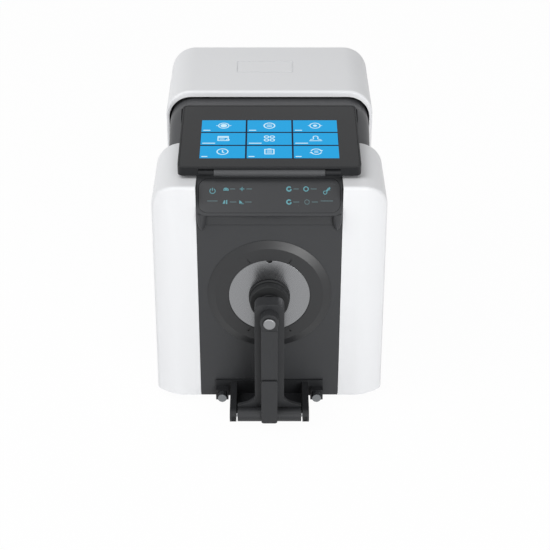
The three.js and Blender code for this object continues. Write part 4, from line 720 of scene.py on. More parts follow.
def dial_sign(s):
    s.stroke([(-2.6, -1.4), (2.6, -1.4)], 1.0)
    s.ring(0, -1.4, 2.5, 0.9, 0, 180)
    s.disc(0, -0.2, 1.3)


def spark_sign(s):
    s.stroke([(-2.2, 0), (2.2, 0)], 0.8)
    s.stroke([(0, -2.0), (0, 2.0)], 0.8)
    s.disc(-0.3, 0, 1.1)


def twin_sign(s):
    s.patch([(-3.0, -1.9), (-0.4, -1.9), (-0.4, 1.9), (-1.5, 1.9)])
    s.stroke([(1.2, -1.9), (1.2, 1.9)], 1.3)


def pointer_sign(s):
    s.patch([(-1.8, -1.9), (1.6, -0.5), (-1.8, 1.9)])
    s.stroke([(-0.2, -2.0), (2.6, -2.0)], 0.6)


def open_ring_sign(s):
    s.ring(0, 0, 2.3, 1.5, 40, 290)
    s.disc(1.9, -0.6, 0.7)


def ring_sign(s):
    s.ring(0, 0, 2.4, 1.1)


def fine_ring_sign(s):
    s.ring(0, 0, 2.5, 0.8)


def pen_sign(s):
    s.ring(-1.6, -1.8, 1.8, 0.8)
    s.stroke([(-0.3, -0.3), (3.2, 3.4)], 1.9)
    s.stroke([(1.0, 3.2), (3.4, 0.9)], 0.6)


# Each sign's place from the middle of the touch cover, and the place and the width of the bar beside it
CONSOLE_SIGNS = (
    (power_sign, -59.9, 5.2, 0.0, -11.3, 11.0),
    (dial_sign, -45.7, 7.5, 7.0, 0.0, 5.5),
    (spark_sign, -28.8, 7.5, 7.4, 0.0, 6.0),
    (twin_sign, -46.1, -7.3, 8.0, 0.0, 7.0),
    (pointer_sign, -29.8, -7.3, 7.6, 0.0, 7.0),
    (open_ring_sign, 20.7, 7.5, 7.4, 0.0, 5.5),
    (ring_sign, 38.6, 7.5, 8.0, 0.0, 6.5),
    (open_ring_sign, 20.6, -7.3, 7.6, 0.0, 6.5),
    (pen_sign, 60.3, 5.2, 0.0, -11.3, 13.0),
)
FINE_SIGNS = (
    (fine_ring_sign, 39.5, -7.3, 8.2, 0.0, 6.5),
)
BAR_HEIGHT = 0.9


# Signs of the display's tiles


def target_tile(s):
    s.ring(0, 0, 5.6, 1.2)
    s.disc(0, 0, 3.6)
    for side in (-1, 1):
        s.stroke([(side * 6.6, 0), (side * 8.2, 0)], 1.0)


def lens_tile(s):
    s.ring(0, 0, 5.8, 1.5)
    for y in (-1.4, 1.4):
        s.bar(0, y, 6.0, 1.3)


def eye_tile(s):
    s.ring(0, 0, 5.6, 1.2)
    s.disc(0, 0, 2.2)
    for side in (-1, 1):
        s.stroke([(side * 6.4, 0), (side * 7.6, 0)], 0.9)


def list_tile(s):
    s.frame(11.0, 9.0, 1.3)
    s.stroke([(-5.5, 2.6), (5.5, 2.6)], 2.2)
    for y in (-0.4, -2.4):
        s.stroke([(-3.6, y), (1.4, y)], 0.8)
    s.ring(5.0, -3.0, 1.7, 0.9)


def four_tile(s):
    for x, y in ((-3.1, 3.3), (3.1, 3.3), (-3.1, -3.3), (3.1, -3.3)):
        s.ring(x, y, 2.3, 1.3)


def peak_tile(s):
    s.ring(0, 2.6, 2.6, 1.2, -30, 240)
    s.stroke([(-6.6, -4.8), (6.6, -4.8)], 1.2)
    for side in (-1, 1):
        s.stroke([(side * 2.4, 1.2), (side * 2.4, -1.2), (side * 5.8, -2.8)], 1.1)


def clock_tile(s):
    s.ring(0, 0, 5.8, 1.3)
    s.stroke([(0, 3.0), (0, -1.0), (1.6, -2.2)], 1.3)


def board_tile(s):
    s.frame(9.6, 9.6, 1.3)
    s.bar(0, 5.2, 4.6, 2.4)
    for y in (-2.6, -0.4, 1.8):
        s.stroke([(-2.6, y), (2.6, y)], 0.9)


def renew_tile(s):
    s.ring(0, 0, 5.6, 1.3, 25, 140)
    s.ring(0, 0, 5.6, 1.3, 205, 140)
    for side in (-1, 1):
        s.patch([(side * 3.6, side * 2.6), (side * 7.2, side * 3.0), (side * 5.6, side * -0.2)][::side])
    for y in (-1.2, 1.2):
        s.bar(0, y, 4.6, 1.1)


TILE_SIGNS = (
    (target_tile, lens_tile, eye_tile),
    (list_tile, four_tile, peak_tile),
    (clock_tile, board_tile, renew_tile),
)
# The bar in each tile's lower left corner: its width by row, its height and its place from that corner
TILE_BAR_WIDTHS = (8.0, 14.0, 6.5)
TILE_BAR_HEIGHT, TILE_BAR_LEFT, TILE_BAR_FOOT = 1.7, 1.8, 3.4
# A sign's height above its tile's middle, a tile's corner radius and the ground's margin round the tiles
SIGN_LIFT, TILE_CORNER, GROUND_MARGIN = 0.8, 0.4, 0.6
# The layers of the picture, all from the cover's face up
GROUND_THICKNESS, TILE_THICKNESS, SIGN_THICKNESS = 0.05, 0.1, 0.14


def picture_sheets(matrix, sizes):
    """The display's picture: its ground, its tiles, and the signs and bars on them."""
    ground = Sheet(matrix, GROUND_THICKNESS)
    tiles, signs = Sheet(matrix, TILE_THICKNESS), Sheet(matrix, SIGN_THICKNESS)
    width = (sizes.picture_width - 2 * sizes.column_gap) / 3
    height = (sizes.picture_height - 2 * sizes.row_gap) / 3
    margin = 2 * GROUND_MARGIN
    ground.move(0, -sizes.picture_drop)
    ground.bar(0, 0, sizes.picture_width + margin, sizes.picture_height + margin)
    for row, drawn in enumerate(TILE_SIGNS):
        y = (1 - row) * (height + sizes.row_gap) - sizes.picture_drop
        for column, draw in enumerate(drawn):
            x = (column - 1) * (width + sizes.column_gap)
            tiles.move(x, y).patch(softened_flat(width, height, TILE_CORNER))
            draw(signs.move(x, y + SIGN_LIFT))
            bar = TILE_BAR_WIDTHS[row]
            signs.move(x, y).bar(
                (bar - width) / 2 + TILE_BAR_LEFT, TILE_BAR_FOOT - height / 2, bar, TILE_BAR_HEIGHT)
    return ground, tiles, signs


# Sizes and colours that a user would change


class CaseSizes(bpy.types.PropertyGroup):
    """The arched covers and the clamp's spring, in millimetres."""

    corner: FloatProperty(
        name="Shoulder radius", description="Radius of the front case's shoulders", default=29.0)
    flare: FloatProperty(
        name="Flare", description="How far the case widens to its foot, each side", default=1.7)
    wall: FloatProperty(name="Case wall", description="Wall thickness of the front case", default=3.0)
    fillet: FloatProperty(name="Front fillet", description="Radius of the front case's rim", default=3.2)
    pillow_start: FloatProperty(
        name="Pillow start", description="Where the front begins to fall back", default=95.0)
    pillow_curve: FloatProperty(
        name="Pillow curve", description="A larger value makes a flatter front", default=67.0)
    slot_half: FloatProperty(
        name="Slot half-width", description="Half the width of the dark slot", default=77.4)
    hood_corner: FloatProperty(
        name="Hood shoulder radius", description="Radius of the hood's shoulders", default=29.0)
    hood_wall: FloatProperty(name="Hood wall", description="Wall thickness of the hood", default=3.5)
    edge: FloatProperty(name="Edge radius", description="Rounding of the covers' cut edges", default=0.45)
    plate_left: FloatProperty(
        name="Plate left", description="Left end of the hood's bare plate", default=-37.8)
    plate_right: FloatProperty(
        name="Plate right", description="Right end of the hood's bare plate", default=27.9)
    plate_start: FloatProperty(
        name="Plate front", description="Front of the plate, behind the rim", default=54.4)
    plate_length: FloatProperty(
        name="Plate length", description="Length of the plate front to back", default=33.8)
    groove_width: FloatProperty(
        name="Groove width", description="Width of the groove round the plate", default=1.3)
    groove_depth: FloatProperty(
        name="Groove depth", description="Depth of the groove round the plate", default=0.8)
    spring_radius: FloatProperty(
        name="Spring radius", description="Radius of the plunger's spring", default=6.6)
    spring_wire: FloatProperty(name="Spring wire", description="Radius of the spring's wire", default=0.5)


class PictureSizes(bpy.types.PropertyGroup):
    """The display's picture, in millimetres."""

    picture_width: FloatProperty(name="Picture width", description="Width of the lit picture", default=148.0)
    picture_height: FloatProperty(
        name="Picture height", description="Height of the lit picture", default=80.3)
    picture_drop: FloatProperty(
        name="Picture drop", description="Picture below the cover's middle", default=7.8)
    column_gap: FloatProperty(name="Column gap", description="Gap between the tiles' columns", default=1.9)
    row_gap: FloatProperty(name="Row gap", description="Gap between the tiles' rows", default=2.4)


class Look(bpy.types.PropertyGroup):
    """The colours, as sRGB hex values."""

    white: StringProperty(name="White", description="Colour of the covers", default="#e6e7e9")
    charcoal: StringProperty(name="Charcoal", description="Colour of the front panel", default="#38393b")
    charcoal_waist: StringProperty(name="Waist", description="Colour of the inner housing", default="#4c4d4f")
    touch: StringProperty(name="Touch cover", description="Colour of the console's cover", default="#3a3b3d")
    port: StringProperty(name="Port ring", description="Colour of the port ring", default="#212224")
    display: StringProperty(name="Display", description="Colour of the display's case", default="#202123")
    casting: StringProperty(name="Casting", description="Colour of the clamp", default="#2f3032")
    # The bracket's colour is darker than the castings' partly as painted shade under the clamp.
    bracket: StringProperty(name="Bracket", description="Colour of the clamp's bracket", default="#202123")
    hinge: StringProperty(
        name="Hinge bar", description="Colour of the display's hinge bar", default="#4a4b4d")
    aperture: StringProperty(
        name="Aperture plate", description="Colour of the aperture plate", default="#8e8f91")
    tile: StringProperty(name="Tile", description="Colour of the display's tiles", default="#1aa0dc")
    print: StringProperty(name="Print", description="Colour of the console's signs", default="#58939d")
    print_fine: StringProperty(
        name="Fine print", description="Colour of the bars beside the signs", default="#4e6569")


class StageSizes(bpy.types.PropertyGroup):
    """The camera and the light."""

    pitch: FloatProperty(name="Pitch", description="How far the camera looks down, in degrees", default=30.8)
    lens: FloatProperty(
        name="Lens", description="Focal length on a 36 mm sensor", default=94.91, unit="CAMERA")
    shift: FloatProperty(name="Shift", description="Sideways shift of the view", default=0.0102)
    distance: FloatProperty(
        name="Distance", description="Camera in front of the panel, in millimetres", default=1343.0)
    height: FloatProperty(
        name="Height", description="Camera above the panel's foot, in millimetres", default=958.6)
    key: FloatProperty(name="Key light", description="Power of the front lamp", default=24.5, unit="POWER")
    top: FloatProperty(name="Top light", description="Power of the lamp above", default=16.0, unit="POWER")
    fill: FloatProperty(
        name="Fill light", description="Power of the lamp at the left", default=12.5, unit="POWER")
    sky: FloatProperty(name="Sky", description="Strength of the room's light", default=0.4)


# Covers


# How far a cutter stands out past what it cuts
OVER = 2.0
# The gap left round the inner housing and behind the console, and the housing's shoulder radius
CLEARANCE = 0.6
CONSOLE_GAP = 0.3
WAIST_CORNER = 27.0
# The housing's top below the case's top
WAIST_DROP = 2.2
# The hood's rounded rim and back, the step inside its rim, and the opening in its back
HOOD_RIM, HOOD_REAR = 3.0, 9.0
HOOD_STEP, HOOD_STEP_DROP = 7.0, 3.6
HOOD_OPENING_TOP = 122.0
# Cut edges: steps in the rounding, and the angle from which an edge counts as one
COVER_STEPS, COVER_ANGLE = 2, 38


def front_case_mesh(sizes):
    """The white arch with its pillowed front, the slot for the dark panel and the opening behind."""
    half = SHELL_BOX[1].x / MM - sizes.flare
    top = (SHELL_BOX[1].z - PANEL_FOOT.z) / MM
    depth = (SHELL_BOX[1].y - PANEL_FOOT.y) / MM

    def front(x):
        return max(0.0, abs(x) - sizes.pillow_start) ** 2 / sizes.pillow_curve

    def outside(inset, back):
        return arch(
            half - inset, top - inset, sizes.corner - inset, 0, lambda x: front(x) + back, sizes.flare)

    def inside(depth_at):
        wall = sizes.wall
        return arch(half - wall, top - wall, sizes.corner - wall, -OVER, depth_at, sizes.flare)

    def waist(y):
        lowest_top = top - WAIST_DROP + CLEARANCE
        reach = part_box("inner_housing")[1].x / MM + CLEARANCE
        return arch(reach, lowest_top, WAIST_CORNER, -OVER, lambda x: y)

    rear = arch(half, top, sizes.corner, 0, lambda x: depth, sizes.flare)
    outer = arch_loft([*rounded_edge(sizes.fillet, outside), rear])
    cavity = arch_loft([inside(lambda x: front(x) + sizes.wall), inside(lambda x: depth - sizes.wall)])
    slot_back = (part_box("control_console")[1].y - PANEL_FOOT.y) / MM + CONSOLE_GAP
    slot = block(at(-sizes.slot_half, -OVER, -OVER), at(sizes.slot_half, slot_back, top + OVER))
    opening = arch_loft([waist(depth - sizes.wall - OVER), waist(depth + OVER)])
    return rounded(carved(outer, cavity, slot, opening), sizes.edge, COVER_STEPS, COVER_ANGLE)


def hood_mesh(sizes):
    """The white hood: a rounded rim, a step inside it, and a round-edged back with its opening."""
    low, high = HOOD_BOX
    half = high.x / MM
    top, bottom = (high.z - PANEL_FOOT.z) / MM, (low.z - PANEL_FOOT.z) / MM
    start, end = (low.y - PANEL_FOOT.y) / MM, (high.y - PANEL_FOOT.y) / MM
    corner, wall = sizes.hood_corner, sizes.hood_wall
    step_end = start + HOOD_STEP

    def section(inset, depth):
        return arch(half - inset, top - inset, corner - inset, bottom, lambda x: depth)

    def inside(lower, depth):
        return arch(half - wall, top - wall - lower, corner - wall, -OVER, lambda x: depth)

    def plate(inset, floor):
        front = start + sizes.plate_start
        rear_end = front + sizes.plate_length
        return block(at(sizes.plate_left + inset, front + inset, top - floor),
                     at(sizes.plate_right - inset, rear_end - inset, top + OVER))

    rim = rounded_edge(HOOD_RIM, lambda inset, deep: section(inset, start + deep))
    back = rounded_edge(HOOD_REAR, lambda inset, deep: section(inset, end - deep))
    outer = arch_loft([*rim, *reversed(back)])
    cavity = arch_loft([inside(0, step_end), inside(0, end - wall)])
    mouth = arch_loft([inside(HOOD_STEP_DROP, start - OVER), inside(HOOD_STEP_DROP, step_end + OVER)])
    rear_opening = block(
        at(wall - half, end - HOOD_REAR, -OVER), at(half - wall, end + OVER, HOOD_OPENING_TOP))
    groove = carved(plate(0.0, sizes.groove_depth), plate(sizes.groove_width, OVER))
    return rounded(carved(outer, cavity, mouth, rear_opening, groove), sizes.edge, COVER_STEPS, COVER_ANGLE)


class INSTRUMENT_OT_front_case(bpy.types.Operator):
    """Build the white front case"""

    bl_idname = "instrument.front_case"
    bl_label = "Front case"

    def execute(self, context):
        made("front_case", front_case_mesh(context.scene.instrument_case), "front_shell", "white_abs")
        return {"FINISHED"}


class INSTRUMENT_OT_hood(bpy.types.Operator):
    """Build the sliding hood, its bare plate and its runners"""

    bl_idname = "instrument.hood"
    bl_label = "Hood"

    def execute(self, context):
        made("hood_cover", hood_mesh(context.scene.instrument_case), "hood", "white_abs")
        for side in ("left", "right"):
            dressed(f"runner_{side}", f"hood_runner_{side}", "black", 0.4)
        return {"FINISHED"}


class INSTRUMENT_OT_inner_housing(bpy.types.Operator):
    """Dress the dark housing, its bumpers and the sample well's fittings"""

    bl_idname = "instrument.inner_housing"
    bl_label = "Inner housing"

    def execute(self, context):
        dressed("waist_housing", "inner_housing", "waist_abs", 0.5, segments=2, angle=35)
        dressed("well_insert", "sample_well", "waist_abs", 0.5, segments=2, angle=35)
        for side in ("left", "right"):
            dressed(f"bumper_{side}", f"display_bumper_{side}", "rubber", 0.5)
        for place in ("front", "rear"):
            dressed(f"silica_window_{place}", f"well_window_{place}", "window", 0.2)
        dressed("cuvette_block", "cuvette_holder", "casting", 0.5)
        return {"FINISHED"}


# The way the touch cover faces, and the thickness of its print in millimetres
UP_FRONT = (0, -0.6, 0.8)
PRINT_THICKNESS = 0.05


class INSTRUMENT_OT_front_panel(bpy.types.Operator):
    """Dress the front panel, the console and its touch cover, and print the console's signs"""

    bl_idname = "instrument.front_panel"
    bl_label = "Front panel and console"

    def execute(self, context):
        dressed("panel_plate", "front_panel", "dark_abs", 0.4)
        dressed("console_body", "control_console", "dark_abs", 0.7)
        dressed("console_cover", "touch_plate", "touch", 0.35)
        cover = face_towards("touch_plate", UP_FRONT)
        signs, fine_signs, bars = (Sheet(cover, PRINT_THICKNESS) for _ in range(3))
        for sheet, rows in ((signs, CONSOLE_SIGNS), (fine_signs, FINE_SIGNS)):
            for draw, x, y, right, up, width in rows:
                draw(sheet.move(x, y))
                bars.move(x, y).bar(right, up, width, BAR_HEIGHT)
        for name, sheet, finish in (("signs", signs, "print"), ("fine_signs", fine_signs, "print_fine"),
                                    ("labels", bars, "print_fine")):
            piece(f"console_{name}", sheet.mesh(), finish, "base")
        return {"FINISHED"}


# Measuring port


# The ring, in millimetres: its bevel, its upright edge, its wall outside the spigot, the ledge under the
# aperture plate and the gap round that plate
RING_BEVEL, RING_EDGE = 8.6, 0.5
RING_FLANGE, RING_LEDGE = 11.0, 6.0
SEAT_GAP = 0.3
# The nicks, in degrees round the port and in millimetres from the seat
NICK_ANGLES = (-27, 27, 153, 207)
NICK_HALF, NICK_DEPTH = 0.9, 1.2
NICK_START, NICK_END = 1.5, 7.0


def port_ring_mesh():
    """The bevelled ring with its seat for the aperture plate and four nicks for a tool."""
    outer = PORT_BOX[1].x / MM
    rise, back = (PANEL_FOOT.y - PORT_BOX[0].y) / MM, (PORT_BOX[1].y - PANEL_FOOT.y) / MM
    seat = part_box("aperture_plate")[1].x / MM + SEAT_GAP
    bore, spigot = seat - RING_LEDGE, outer - RING_FLANGE
    floor = (PANEL_FOOT.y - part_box("aperture_plate")[1].y) / MM - SEAT_GAP
    middle = Vector((0, PANEL_FOOT.y, PORT_AXIS_Z))
    ring = turned([
        (bore, -back), (spigot, -back), (spigot, SEAT_GAP), (outer, SEAT_GAP), (outer, RING_EDGE),
        (outer - RING_BEVEL, rise), (seat, rise), (seat, floor), (bore, floor)],
        middle, TO_FRONT, segments=144)
    nicks = []
    for angle in NICK_ANGLES:
        nick = block(Vector((-NICK_HALF, -rise - 1, seat + NICK_START)) * MM,
                     Vector((NICK_HALF, NICK_DEPTH - rise, seat + NICK_END)) * MM)
        nick.transform(Matrix.Translation(middle) @ Matrix.Rotation(math.radians(angle), 4, "Y"))
        nicks.append(nick)
    return rounded(carved(ring, *nicks), 0.3, segments=2, angle=15)


class INSTRUMENT_OT_port(bpy.types.Operator):
    """Build the port ring and dress the aperture plate"""

    bl_idname = "instrument.port"
    bl_label = "Measuring port"

    def execute(self, context):
        made("port_bezel", port_ring_mesh(), "port_ring", "port")
        dressed("aperture_disc", "aperture_plate", "aperture", 0.25)
        return {"FINISHED"}


# Clamp


# The pad's radii, in millimetres: its hollow face, its lip, its groove and its collar
PAD_HOLLOW, PAD_LIP = 16.0, 22.3
PAD_GROOVE, PAD_COLLAR = 19.2, 21.0
# Its depths: the hollow, the lip and the whole moulding
PAD_HOLLOW_DEPTH, PAD_LIP_DEPTH, PAD_DEPTH = 1.5, 3.5, 13.5


def pad_mesh():
    """The rubber pad: a wide lip, a moulded groove and a hollow face."""
    face = (PAD_BOX[1].y - PANEL_FOOT.y) / -MM
    floor, rim, back = face + PAD_HOLLOW_DEPTH, face + PAD_LIP_DEPTH, face + PAD_DEPTH
    middle = Vector((0, PANEL_FOOT.y, PAD_AXIS_Z))
    profile = [
        (0, floor), (PAD_HOLLOW, floor), (PAD_HOLLOW + 0.6, face),
        (PAD_LIP - 0.3, face), (PAD_LIP, face + 1.2), (PAD_LIP, rim - 0.6), (PAD_LIP - 0.7, rim),
        (PAD_GROOVE, rim + 0.1), (PAD_GROOVE, rim + 1.1),
        (PAD_COLLAR, rim + 1.2), (PAD_COLLAR, back - 1.6), (PAD_COLLAR - 0.8, back), (0, back)]
    return turned(profile, middle, TO_FRONT, soften_mm=0.3)


# The pocket in each ear of the bracket, from the middle of its front, and how far in from the pin's end
POCKET_LOW, POCKET_HIGH = (-1.5, -1.0, -4.0), (1.5, 2.2, 2.5)
POCKET_INSET = 3.0
# The pad's collar stands out behind it by this much, and the spring has this many turns
COLLAR_RISE = 3.3
SPRING_TURNS = 3.0


class INSTRUMENT_OT_clamp(bpy.types.Operator):
    """Dress the clamp: bracket, pin, thumbscrews, arm, plunger, spring and pad"""

    bl_idname = "instrument.clamp"
    bl_label = "Sample clamp"

    def execute(self, context):
        made("bracket_casting", self.bracket_mesh(), "clamp_bracket", "bracket")
        dressed("arm_casting", "clamp_arm", "casting", 0.8)
        dressed("bar_casting", "arm_bar", "casting", 0.7)
        dressed("cover_casting", "hinge_cover", "casting", 0.7)
        dressed("hinge_pin", "clamp_pin", "steel", 0.4)
        for side in ("left", "right"):
            dressed(f"thumb_{side}", f"thumbscrew_{side}", "screw", 0.2)
        made("rubber_pad", pad_mesh(), "sample_pad", "rubber")
        dressed("plunger_rod", "plunger", "black", 0.4)
        dressed("turned_button", "plunger_button", "button", 0.3)
        self.add_spring(context.scene.instrument_case)
        return {"FINISHED"}

    def bracket_mesh(self):
        """The bracket with an oval pocket in the front of each ear."""
        pin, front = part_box("clamp_pin"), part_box("clamp_bracket")[0].y
        height = (pin[0].z + pin[1].z) / 2
        pockets = []
        for side in (-1, 1):
            middle = Vector((side * (pin[1].x - POCKET_INSET * MM), front, height))
            pockets.append(block(middle + Vector(POCKET_LOW) * MM, middle + Vector(POCKET_HIGH) * MM))
        return rounded(carved(welded("clamp_bracket"), *pockets), 1.0)

    def add_spring(self, sizes):
        """The coil between the pad's collar and the arm's head, built at one fixed length."""
        collar_end = PAD_BOX[0].y - COLLAR_RISE * MM
        head_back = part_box("clamp_arm")[1].y
        wire = sizes.spring_wire * MM
        length = collar_end - head_back - 2 * wire
        mesh = grown(coil_tree(FINISHES["spring"]), {
            "Turns": SPRING_TURNS, "Radius": sizes.spring_radius * MM, "Length": length, "Wire": wire})
        mesh.transform(Matrix.Translation((0, head_back + wire + length, PAD_AXIS_Z)) @ TO_FRONT)
        spring = piece("pad_spring", mesh, "spring", "arm")
        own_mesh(spring)


# Display


# The way the display's cover faces at rest
UP_DISPLAY = (0, -0.2, 1)
# The hinge lugs, in millimetres: where they end, how far they reach over the bar's ends and their radius
LUG_END, LUG_OVERLAP, LUG_RADIUS = 75.2, 1.0, 3.6
# The web that joins each lug to the case, behind the joint's axis and below and above it
WEB_BACK, WEB_LOW, WEB_HIGH = 6.3, -2.9, 5.5


def display_case_mesh():
    """The display's case, with its hinge lugs run on to the ends of their notch."""
    place = face_towards("display_glass", UP_DISPLAY).to_3x3().to_4x4()
    place.translation = Vector(joint("display_tilt")["pos_m"])
    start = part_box("display_hinge_bar")[1].x / MM - LUG_OVERLAP
    half = (LUG_END - start) / 2
    fills = []
    for side in (-1, 1):
        middle = side * (start + LUG_END) / 2
        fills.append(turned([(0, -half), (LUG_RADIUS, -half), (LUG_RADIUS, half), (0, half)],
                            Vector((middle * MM, 0, 0)), TO_RIGHT, segments=32))
        fills.append(block(Vector((middle - half, 0.0, WEB_LOW)) * MM,
                           Vector((middle + half, WEB_BACK, WEB_HIGH)) * MM))
    for mesh in fills:
        mesh.transform(place)
    return rounded(whole_faces(carved(welded("display_case"), *fills, operation="UNION")), 0.9)


class INSTRUMENT_OT_display(bpy.types.Operator):
    """Dress the display and draw its picture"""

    bl_idname = "instrument.display"
    bl_label = "Display"

    def execute(self, context):
        made("display_shell", display_case_mesh(), "display_case", "display_abs")
        dressed("cover_glass", "display_glass", "display_glass", 0.3)
        dressed("display_module", "display_panel", "black", 0.2)
        dressed("hinge_bar", "display_hinge_bar", "hinge", 0.4)
        sheets = picture_sheets(face_towards("display_glass", UP_DISPLAY), context.scene.instrument_picture)
        for name, finish, sheet in zip(("ground", "tiles", "signs"), ("ground", "tile", "sign"), sheets):
            piece(f"picture_{name}", sheet.mesh(), finish, "display")
        return {"FINISHED"}


# Back, base and inside


def middle_of_rear(node):
    """The middle of the rear side of a node's box."""
    low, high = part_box(node)
    return Vector(((low.x + high.x) / 2, high.y, (low.z + high.z) / 2))


def block_round(middle, low, high):
    """A box from its corners in millimetres round a middle."""
    return block(middle + Vector(low) * MM, middle + Vector(high) * MM)


def screw_mesh():
    """A pan head with a cross slot, facing the rear, which is +Y."""
    head = turned([(0, -0.2), (3.6, -0.2), (3.6, 0.9), (2.6, 2.0), (0, 2.3)], Vector(), TO_REAR, segments=32)
    narrow, wide, slot_floor, past_head = 0.45, 2.1, 1.1, 3.0
    arms = [block_round(Vector(), (-x, slot_floor, -z), (x, past_head, z))
            for x, z in ((narrow, wide), (wide, narrow))]
    return rounded(carved(head, *arms), 0.2, segments=2)


# The rear screws' distance from the panel's sides, foot and top, in millimetres
SCREW_SIDE, SCREW_FOOT, SCREW_TOP = 8, 12, 9
# The inlet's blades, across and up from its middle, and the depths between which they stand
BLADES = ((-7.0, -1.8), (0.0, 2.2), (7.0, -1.8))
BLADE_HALF_WIDTH, BLADE_HALF_HEIGHT = 1.0, 2.0
BLADE_ROOT, BLADE_TIP = -15.5, -3.0
TONGUE_LOW, TONGUE_HIGH = (-2.9, -14.5, -1.0), (2.9, -1.8, 2.2)


class INSTRUMENT_OT_rear(bpy.types.Operator):
    """Dress the rear panel, the power inlet, the switch and the data socket"""

    bl_idname = "instrument.rear"
    bl_label = "Rear panel and sockets"

    def execute(self, context):
        dressed("rear_plate", "rear_panel", "dark_abs", 0.4)
        dressed("inlet_body", "power_inlet", "black", 0.5)
        dressed("switch_bezel", "switch_frame", "black", 0.4)
        dressed("switch_rocker", "rocker_switch", "black", 0.5)
        dressed("socket_shell", "data_socket", "zinc", 0.2)
        self.add_pins()
        self.add_marks()
        low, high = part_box("rear_panel")
        corners = [Vector((x, high.y, z)) for x in (low.x + SCREW_SIDE * MM, high.x - SCREW_SIDE * MM)
                   for z in (low.z + SCREW_FOOT * MM, high.z - SCREW_TOP * MM)]
        screws = copied(screw_mesh(), corners, FINISHES["screw"])
        piece("rear_screws", screws, "screw", "base")
        return {"FINISHED"}

    def add_pins(self):
        """The inlet's three blades and the data socket's tongue."""
        inlet = middle_of_rear("power_inlet")
        blades = [block_round(inlet, (x - BLADE_HALF_WIDTH, BLADE_ROOT, z - BLADE_HALF_HEIGHT),
                              (x + BLADE_HALF_WIDTH, BLADE_TIP, z + BLADE_HALF_HEIGHT)) for x, z in BLADES]
        piece("inlet_pins", rounded(merged(*blades), 0.4), "brass", "base")
        tongue = block_round(middle_of_rear("data_socket"), TONGUE_LOW, TONGUE_HIGH)
        piece("socket_tongue", rounded(tongue, 0.3), "black", "base")

    def add_marks(self):
        """The switch's on and off marks, one on each half of its rocker."""
        for name, towards in (("on", (0, 1, 0.4)), ("off", (0, 1, -0.4))):
            sheet = Sheet(face_towards("rocker_switch", towards, (-1, 0, 0)), 0.08)
            if name == "on":
                sheet.stroke([(0, -1.8), (0, 1.8)], 0.8)
            else:
                sheet.ring(0, 0, 1.7, 0.8)
            piece(f"mark_{name}", sheet.mesh(), "mark", body_of("rocker_switch"))


class INSTRUMENT_OT_base(bpy.types.Operator):
    """Dress the base tray and the feet"""

    bl_idname = "instrument.base"
    bl_label = "Base and feet"

    def execute(self, context):
        dressed("tray", "base_tray", "zinc", 0.4)
        for place in ("front_left", "front_right", "rear_left", "rear_right"):
            dressed(f"rubber_{place}", f"foot_{place}", "rubber", 0.6)
        return {"FINISHED"}


class INSTRUMENT_OT_inside(bpy.types.Operator):
    """Dress the sphere, the lamp, the optics and the electronics"""

    bl_idname = "instrument.inside"
    bl_label = "Optics and electronics"

    def execute(self, context):
        dressed("sphere_half_front", "sphere_front", "sphere", 0.3, segments=2, angle=35)
        dressed("sphere_half_rear", "sphere_rear", "sphere", 0.3, segments=2, angle=35)
        dressed("stand", "sphere_stand", "zinc", 0.4)
        dressed("lamp_housing", "lamp_module", "aluminium", 0.4)
        dressed("tube", "light_tube", "black", 0.3)
        dressed("optics_casting", "spectrometer_body", "casting", 0.5)
        dressed("optics_lid", "spectrometer_lid", "casting", 0.5)
        dressed("supply_heat_sink", "power_supply", "aluminium", 0.4)
        dressed("board", "main_board", "board", 0.2)
        return {"FINISHED"}


# Stage


# The share of what the camera sees of the paper that is plain white. The rest shows the shadow.
PAPER_WHITE = 0.97


def paper_floor():
    """White paper: as bright as the backdrop to the camera, and dull under the instrument's shadow."""
    material, tree, output, place = new_material("White seamless paper")
    fibre = add_node(tree, "ShaderNodeTexNoise", inputs={"Vector": place, "Scale": 1 / (4 * MM)})
    bump = add_node(tree, "ShaderNodeBump", inputs={
        "Strength": 0.1, "Distance": 0.05 * MM, "Height": fibre.outputs["Fac"]})
    paper = add_node(tree, "ShaderNodeBsdfDiffuse", inputs={
        "Color": colour("#f4f4f4"), "Normal": bump.outputs["Normal"]})
    lit = add_node(tree, "ShaderNodeEmission", inputs={"Color": colour("#ffffff"), "Strength": 1.0})
    mixed = add_node(tree, "ShaderNodeMixShader", inputs={
        0: seen_directly(tree, PAPER_WHITE), 1: paper.outputs[0], 2: lit.outputs[0]})
    tree.links.new(mixed.outputs[0], output.inputs["Surface"])
    return material


def seen_directly(tree, share):
    """The share for rays that come from the camera, a gloss or a glass, and 0 for the rest."""
    path = add_node(tree, "ShaderNodeLightPath")
    both = add_node(tree, "ShaderNodeMath", {"operation": "MAXIMUM"}, {
        0: path.outputs["Is Camera Ray"], 1: path.outputs["Is Glossy Ray"]})
    all_three = add_node(tree, "ShaderNodeMath", {"operation": "MAXIMUM"}, {
        0: both.outputs[0], 1: path.outputs["Is Transmission Ray"]})
    scaled = add_node(tree, "ShaderNodeMath", {"operation": "MULTIPLY"}, {0: all_three.outputs[0], 1: share})
    return scaled.outputs[0]


def make_world(sky):
    """A white room: full white where it is seen, and softer as a light."""
    world = bpy.data.worlds.new("White room")
    world.use_nodes = True
    tree = world.node_tree
    tree.nodes.clear()
    dim = add_node(tree, "ShaderNodeBackground", inputs={"Color": colour("#ffffff"), "Strength": sky})
    full = add_node(tree, "ShaderNodeBackground", inputs={"Color": colour("#ffffff"), "Strength": 1.0})
    mixed = add_node(tree, "ShaderNodeMixShader", inputs={
        0: seen_directly(tree, 1.0), 1: dim.outputs[0], 2: full.outputs[0]})
    add_node(tree, "ShaderNodeOutputWorld", inputs={"Surface": mixed.outputs[0]})
    bpy.context.scene.world = world


